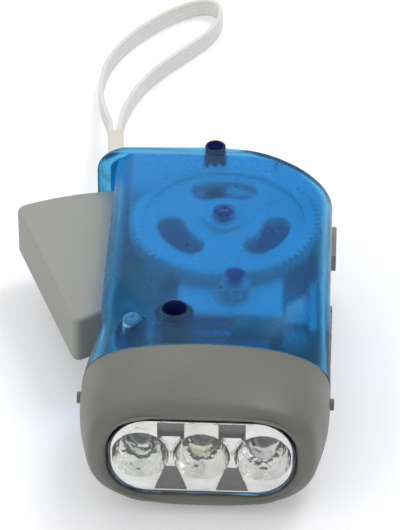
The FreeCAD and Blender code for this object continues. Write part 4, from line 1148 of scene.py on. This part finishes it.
@dataclass
class Head:
    """Grey bezel with its pins, clear lens, chromed cups and three lamps on their board."""

    cup_pitch: float = 13.1 * MM
    cup_radius: float = 6.1 * MM
    cup_depth: float = 10.5 * MM
    throat: float = 2.95 * MM
    throat_keep: float = 0.99
    grid_step: float = 0.24 * MM
    stray: float = 1.2
    snap: float = 0.55
    plate_skin: float = 0.35 * MM
    plate_front: float = -47.55 * MM
    plate_half: tuple[float, float] = (19.3 * MM, 9.3 * MM)
    plate_corner: float = 7.9 * MM
    pocket_half: float = 2.7 * MM
    pocket_foot: float = 4.8 * MM
    pocket_head: float = 9.4 * MM
    pocket_sink: float = 1.6 * MM
    notch_top: float = 2.8 * MM
    notch_half: float = 1.2 * MM
    notch_flare: float = 0.35
    notch_sink: float = 0.96 * MM
    web_sink: float = 0.7 * MM
    web_point: float = 0.5 * MM
    web_flare: float = 0.5
    lamps: Sequence[tuple[str, Finish]] = (
        ("led_left", LAMP_CLEAR), ("led_middle", LAMP_WARM), ("led_right", LAMP_CLEAR),
    )
    leads: Sequence[LeadPart] = (
        LeadPart(
            "anvil", STEEL, 0.35, 24,
            ((0.0, 3.4), (0.45, 3.3), (1.0, 2.6), (1.1, 2.7), (0.6, 4.0), (0.35, 7.2), (0.0, 7.2)),
        ),
        LeadPart("post", STEEL, -1.2, 16, ((0.0, 3.0), (0.4, 3.1), (0.3, 7.2), (0.0, 7.2))),
        LeadPart("dab", PHOSPHOR, 0.35, 24, ((0.0, 2.75), (0.6, 2.85), (0.8, 3.0), (0.0, 3.25))),
    )

    def build(self) -> None:
        """Make and seat every piece of the head."""
        grey, bezel = GRIP_GREY.material(), Bezel()
        seat(dress(bezel.shell(), grey), "head_bezel")
        reskin("head_pins", grey)
        seat(dress(bezel.pane(), LENS_CLEAR.material()), "lens")
        self.reflector()
        seat(dress(bezel.skirt(), CHROME.material()), "reflector", stands_in=False)
        for name, finish in self.lamps:
            reskin(name, finish.material())
            low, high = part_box(name)
            spot = Vector(((low[0] + high[0]) / 2, 0, (low[2] + high[2]) / 2))
            for lead in self.leads:
                lead.build(name, spot, low[1])
        dress_node("led_board", BOARD.material())

    def nearest_cup(self, across: float) -> float:
        """Where the nearest cup's axis stands, from the middle lamp."""
        return self.cup_pitch * min(1, max(-1, round(across / self.cup_pitch)))

    def cup_sink(self, across: float, up: float) -> tuple[float, bool]:
        """Form of the chromed plate at a place on it.

        Args:
            across: Distance from the middle lamp, in metres.
            up: Height above the lamps' line, in metres.

        Returns:
            The depth in metres behind its front, and whether the place is an unplated pocket.
        """
        off = math.hypot(across - self.nearest_cup(across), up)
        if off <= self.cup_radius:
            return self.cup_depth * (1 - (max(off, self.throat) / self.cup_radius) ** 2), False
        aside = abs(abs(across) - self.cup_pitch / 2)
        if self.pocket_foot < up < self.pocket_head and aside < self.pocket_half:
            return self.pocket_sink, True
        if aside < (up - self.web_point) * self.web_flare and up <= self.pocket_foot:
            return self.web_sink, False
        below = -self.notch_top - up
        if below > 0 and aside < self.notch_half + below * self.notch_flare:
            return self.notch_sink, True
        return 0.0, False

    def held(self, across: float, up: float) -> tuple[float, float]:
        """A place of the grid, drawn onto the plate's rounded outline or a cup's circle where one is near.

        Args:
            across: Distance from the middle lamp, in metres.
            up: Height above the lamps' line, in metres.

        Returns:
            The place as drawn.
        """
        half_x, half_z = self.plate_half
        corner = self.plate_corner
        over_x, over_z = abs(across) - (half_x - corner), abs(up) - (half_z - corner)
        far = math.hypot(max(over_x, 0.0), max(over_z, 0.0))
        if far > corner and over_x > 0:
            across = math.copysign(half_x - corner + over_x * corner / far, across)
        if far > corner and over_z > 0:
            up = math.copysign(half_z - corner + over_z * corner / far, up)
        cup = self.nearest_cup(across)
        off = math.hypot(across - cup, up)
        for circle in (self.cup_radius, self.throat):
            if 0 < abs(off - circle) < self.snap * self.grid_step:
                across, up = cup + (across - cup) * circle / off, up * circle / off
        return across, up

    def plate_points(self) -> dict[tuple[int, int], tuple[float, float]]:
        """Places of the plate's grid that lie on the plate and outside the lamps' throats.

        Returns:
            Each place across and up from the middle lamp, by column and row.
        """
        half_x, half_z = self.plate_half
        columns, rows = int(2 * half_x / self.grid_step), int(2 * half_z / self.grid_step)
        points = {}
        for column in range(columns + 1):
            for row in range(rows + 1):
                start = (half_x * (2 * column / columns - 1), half_z * (2 * row / rows - 1))
                across, up = self.held(*start)
                stray = math.dist(start, (across, up)) > self.stray * self.grid_step
                off = math.hypot(across - self.nearest_cup(across), up)
                if not stray and off >= self.throat * self.throat_keep:
                    points[column, row] = (across, up)
        return points

    def reflector(self) -> None:
        """Make and seat the chromed plate, with three round cups and webs between them, and sunk pockets
        whose dark chrome is painted shade.
        """
        low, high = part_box("reflector")
        middle = (Vector(low) + Vector(high)) / 2
        work = bmesh.new()
        grid = {}
        for key, (across, up) in self.plate_points().items():
            along = self.plate_front + self.cup_sink(across, up)[0]
            grid[key] = work.verts.new((middle.x + across, along, middle.z + up))
        for (column, row), first in grid.items():
            around = [grid.get((column + right, row + above)) for right, above in ((1, 0), (1, 1), (0, 1))]
            if all(around):
                face = work.faces.new([first, *around])
                place = face.calc_center_median() - middle
                # Pocket faces take the dark chrome, as painted shade in the recess.
                face.material_index = int(self.cup_sink(place.x, place.z)[1])
        cups = shape("reflector_cups", work, crease=35.0)
        for finish in (CHROME, CHROME_PAINTED_SHADE):
            cups.data.materials.append(finish.material())
        skin = cups.modifiers.new("plate", "SOLIDIFY")
        skin.thickness = self.plate_skin
        skin.offset = 1.0 if cups.data.polygons[0].normal.y > 0 else -1.0
        seat(cups, "reflector")


@dataclass(frozen=True)
class TailCorner:
    """Round of the tail's left corner, where the strap leaves the case."""

    inside: float = -12.0 * MM
    edge: float = -28.3 * MM
    start: float = 42.3 * MM
    full: float = 48.0 * MM
    draw_in: float = 2.5 * MM
    power: float = 2.2

    def rounded(self, point: Vector) -> Vector:
        """A place drawn in towards the head where it lies in the corner.

        Args:
            point: Place in metres.

        Returns:
            The finished place.
        """
        if point.x > self.inside or point.y < self.start:
            return point
        aside = min((self.inside - point.x) / (self.inside - self.edge), 1.0)
        rise = min((point.y - self.start) / (self.full - self.start), 1.0)
        return Vector((point.x, point.y - self.draw_in * aside ** self.power * eased(rise), point.z))


@dataclass(frozen=True)
class Sleeve:
    """Upright round sleeve or plug in the case's roof, with a rounded top rim, in millimetres."""

    name: str
    finish: Finish
    middle: tuple[float, float]
    bore: float
    outside: float
    foot: float
    top: float
    around: int = 48

    def build(self) -> None:
        """Make and seat the sleeve."""
        soft = (self.outside - self.bore) / 3
        profile = (
            (self.outside, self.foot), (self.outside, self.top - soft), (self.outside - soft, self.top),
            (self.bore + soft, self.top), (self.bore, self.top - soft), (self.bore, self.foot),
        )
        x, y = self.middle
        turns = [2 * math.pi * step / self.around for step in range(self.around)]
        rings = [
            [(x + radius * math.cos(turn), y + radius * math.sin(turn), high) for turn in turns]
            for radius, high in profile
        ]
        sleeve = dress(skin_rings(self.name, rings, crease=50.0, wrap=True), self.finish.material())
        seat(sleeve, "upper_shell", stands_in=False)


@dataclass
class Case:
    """Translucent case halves, switch, lever lock and screws."""

    knob_edge: float = 0.2 * MM
    wheel_middle: tuple[float, float] = (2.0 * MM, 22.0 * MM)
    wheel_reach: float = 22.3 * MM
    wall_reach: float = 28.0 * MM
    draw_in: float = 3.3 * MM
    draw_from: float = 12.0
    draw_to: float = 100.0
    sleeves: Sequence[Sleeve] = (
        # The two screw wells' dark blue is painted shade.
        Sleeve("front_screw_well", CASE_WELL_SHADE, (-7.3, -16.1), 2.6, 3.05, 21.4, 31.15),
        Sleeve("tail_screw_well", CASE_WELL_SHADE, (-1.0, 46.8), 1.75, 2.4, 23.8, 31.1),
        Sleeve("axle_socket", CASE_BOSS, (2.0, 22.0), 0.1, 2.3, 30.25, 30.7),
        Sleeve("rotor_socket", CASE_BOSS, (5.34, -2.07), 0.1, 2.3, 30.25, 30.7),
        Sleeve("pivot_plug", CASE_PLUG, (-16.44, -19.05), 0.05, 1.98, 29.75, 30.9),
    )

    def tuck(self, point: Vector) -> Vector:
        """Round off the tail's corners, so that the right wall follows the wheel.

        Args:
            point: Place on a case half in metres.

        Returns:
            The finished place.
        """
        across, along = point.x - self.wheel_middle[0], point.y - self.wheel_middle[1]
        reach = math.hypot(across, along)
        share = (math.degrees(math.atan2(along, across)) - self.draw_from) / (self.draw_to - self.draw_from)
        if reach <= self.wheel_reach or not 0 < share < 1:
            return TailCorner().rounded(point)
        rise = min((reach - self.wheel_reach) / (self.wall_reach - self.wheel_reach), 1.0)
        scale = 1 - self.draw_in * math.sin(math.pi * share) ** 2 * eased(rise) / reach
        return Vector((self.wheel_middle[0] + across * scale, self.wheel_middle[1] + along * scale, point.z))

    def build(self) -> None:
        """Make and seat the case halves and what is set in them."""
        # The lower half's darker blue is painted shade.
        for node, finish in (("upper_shell", CASE_BLUE), ("lower_shell", CASE_BLUE_LOWER_SHADED)):
            reskin(node, finish.material(), reshape=self.tuck)
        for sleeve in self.sleeves:
            sleeve.build()
        for node in ("switch_knob", "lock_slide"):
            reskin(node, KNOB.material(), self.knob_edge)
        dress_node("case_screws", STEEL.material())
        dress_node("switch_body", COVER_WHITE.material())


@dataclass
class Lever:
    """Grey squeeze lever; its pin and spring keep the pack's plain steel."""

    def build(self) -> None:
        """Put the smooth lever in its solid's place."""
        reskin("squeeze_lever", packed_finish("grip_grey"))


@dataclass
class Works:
    """Gear train, generator and cells under the case; what isn't named keeps the pack's plain finish."""

    cover_edge: float = 0.3 * MM
    finishes: Sequence[tuple[str, Finish]] = (
        ("drive_pinion", GEAR_WHITE),
        ("rotor_pinion", GEAR_WHITE),
        ("rotor_magnet", MAGNET),
        ("generator_base", CRADLE),
        ("coil_left", COPPER),
        ("stator_pole_left", STATOR),
        ("cell_front", CELL_STEEL),
    )

    def build(self) -> None:
        """Make the wheel and the cover, and dress the inner solids."""
        reskin("flywheel", GEAR_WHITE.material())
        reskin("generator_cover", packed_finish("cover_white"), self.cover_edge)
        for node, finish in self.finishes:
            dress_node(node, finish.material())


def route_curve(name: str, route: Sequence[Vector]) -> bpy.types.Object:
    """Smooth open spline with a route's points as its control points.

    Args:
        name: Name of the curve.
        route: Control points in metres.

    Returns:
        The curve object.
    """
    curve = bpy.data.curves.new(name, "CURVE")
    curve.dimensions = "3D"
    spline = curve.splines.new("NURBS")
    spline.points.add(len(route) - 1)
    for place, point in zip(spline.points, route):
        place.co = (*point, 1.0)
    spline.order_u = 3
    spline.use_endpoint_u = True
    spline.resolution_u = SPLINE_STEPS
    return link(name, curve)


def line_of(route: Sequence[Vector]) -> list[Vector]:
    """Middle line of a route's smooth spline.

    Args:
        route: Control points in metres.

    Returns:
        Points along the spline, in order.
    """
    guide = route_curve("route_guide", route)
    bpy.context.view_layer.update()
    mesh = bpy.data.meshes.new_from_object(guide)
    points = [vertex.co.copy() for vertex in mesh.vertices]
    bpy.data.objects.remove(guide)
    bpy.data.meshes.remove(mesh)
    return points


@dataclass
class Strap:
    """Wrist strap: a string round the bar in the tail wall, a crimped ferrule and a flat woven tape."""

    band_width: float = 5.0 * MM
    band_thickness: float = 1.15 * MM
    round_steps: int = 8
    face_steps: Sequence[float] = (0.66, 0.33, 0.0, -0.33, -0.66)
    string_radius: float = 0.6 * MM
    string_steps: int = 5
    lean: float = 0.085
    lean_from: float = 47.0 * MM
    tape: Sequence[Point] = (
        (-27.35, 73.4, 13.6), (-27.7, 78.6, 13.2), (-29.4, 89.0, 8.6), (-31.6, 101.4, 4.2),
        (-32.9, 113.0, 2.85), (-31.4, 124.0, 2.85), (-26.6, 134.8, 2.85), (-18.6, 145.2, 2.85),
        (-11.0, 151.2, 2.85), (-5.4, 151.8, 2.85), (-3.2, 146.5, 2.85), (-5.2, 138.2, 2.85),
        (-11.6, 129.4, 2.85), (-18.8, 119.8, 2.9), (-23.4, 108.6, 4.0), (-25.2, 95.0, 7.6),
        (-25.5, 83.4, 12.4), (-25.45, 73.4, 13.6),
    )
    string: Sequence[Point] = (
        (-24.8, 63.7, 13.6), (-24.8, 62.5, 13.6), (-24.85, 50.2, 13.6), (-24.85, 46.5, 13.6),
        (-21.35, 46.5, 13.6), (-21.35, 50.2, 13.6), (-23.2, 62.5, 13.6), (-23.2, 63.7, 13.6),
    )

    def build(self) -> None:
        ferrule = reskin("strap_ferrule", FERRULE.material(), reshape=self.hang)
        band_line = line_of(metres(self.tape))
        band = seat(dress(self.ribbon(band_line), STRAP.material()), "strap_band")
        route = [self.hang(point) for point in metres(self.string)]
        loop = route_curve("strap_string_loop", route)
        loop.data.bevel_depth = self.string_radius
        loop.data.bevel_resolution = self.string_steps
        loop.data.use_fill_caps = True
        seat(dress(loop, STRING.material()), "strap_string")
        string_line = line_of(route)

    def hang(self, point: Vector) -> Vector:
        """A place of the strap's root, leaning outward with the strap's own pull."""
        near = TailCorner().rounded(point)
        return Vector((near.x - self.lean * max(near.y - self.lean_from, 0.0), near.y, near.z))

    def section(self) -> list[tuple[float, float]]:
        """Outline of the tape across its length, with rounded edges.

        Returns:
            Pairs of a place across the tape's thickness and one up its width, in metres.
        """
        half_out, half_up = self.band_thickness / 2, self.band_width / 2
        arc = [math.pi * step / self.round_steps for step in range(self.round_steps + 1)]
        top = [(half_out * math.cos(turn), half_up - half_out + half_out * math.sin(turn)) for turn in arc]
        side = [(-half_out, (half_up - half_out) * share) for share in self.face_steps]
        half = [*top, *side]
        return [*half, *((-out, -up) for out, up in half)]

    def ribbon(self, line: Sequence[Vector]) -> bpy.types.Object:
        """Flat tape on edge along a line, with flat coordinates for its weave.

        Args:
            line: Points of the tape's middle line in metres.

        Returns:
            The tape.
        """
        section = self.section()
        count = len(section)
        work = bmesh.new()
        layer = work.loops.layers.uv.new("tape")
        rings, along, girth = [], [0.0], [0.0]
        for index, point in enumerate(line):
            before, after = line[max(index - 1, 0)], line[min(index + 1, len(line) - 1)]
            tangent = (after - before).normalized()
            side = tangent.cross(Vector((0, 0, 1))).normalized()
            upward = side.cross(tangent).normalized()
            rings.append([work.verts.new(point + side * out + upward * high) for out, high in section])
        for before, after in zip(line, line[1:]):
            along.append(along[-1] + (after - before).length)
        for first, second in zip(section, [*section[1:], section[0]]):
            girth.append(girth[-1] + math.dist(first, second))
        for index in range(len(rings) - 1):
            for corner in range(count):
                after = (corner + 1) % count
                steps = ((index, corner), (index, corner + 1), (index + 1, corner + 1), (index + 1, corner))
                face = work.faces.new([rings[ring][place % count] for ring, place in steps])
                for loop, (ring, place) in zip(face.loops, steps):
                    loop[layer].uv = (along[ring], girth[place])
        work.faces.new(list(reversed(rings[0])))
        work.faces.new(rings[-1])
        return shape("strap_tape", work, crease=60.0)


def main() -> None:
    """Build the studio and every sub-assembly in order."""
    logging.basicConfig(level=logging.INFO, format="%(name)s: %(message)s")
    bpy.context.scene.view_settings.view_transform = "Standard"
    for part in (Studio(), Head(), Case(), Lever(), Works(), Strap()):
        part.build()
    bpy.context.view_layer.update()


if __name__ == "__main__":
    main()
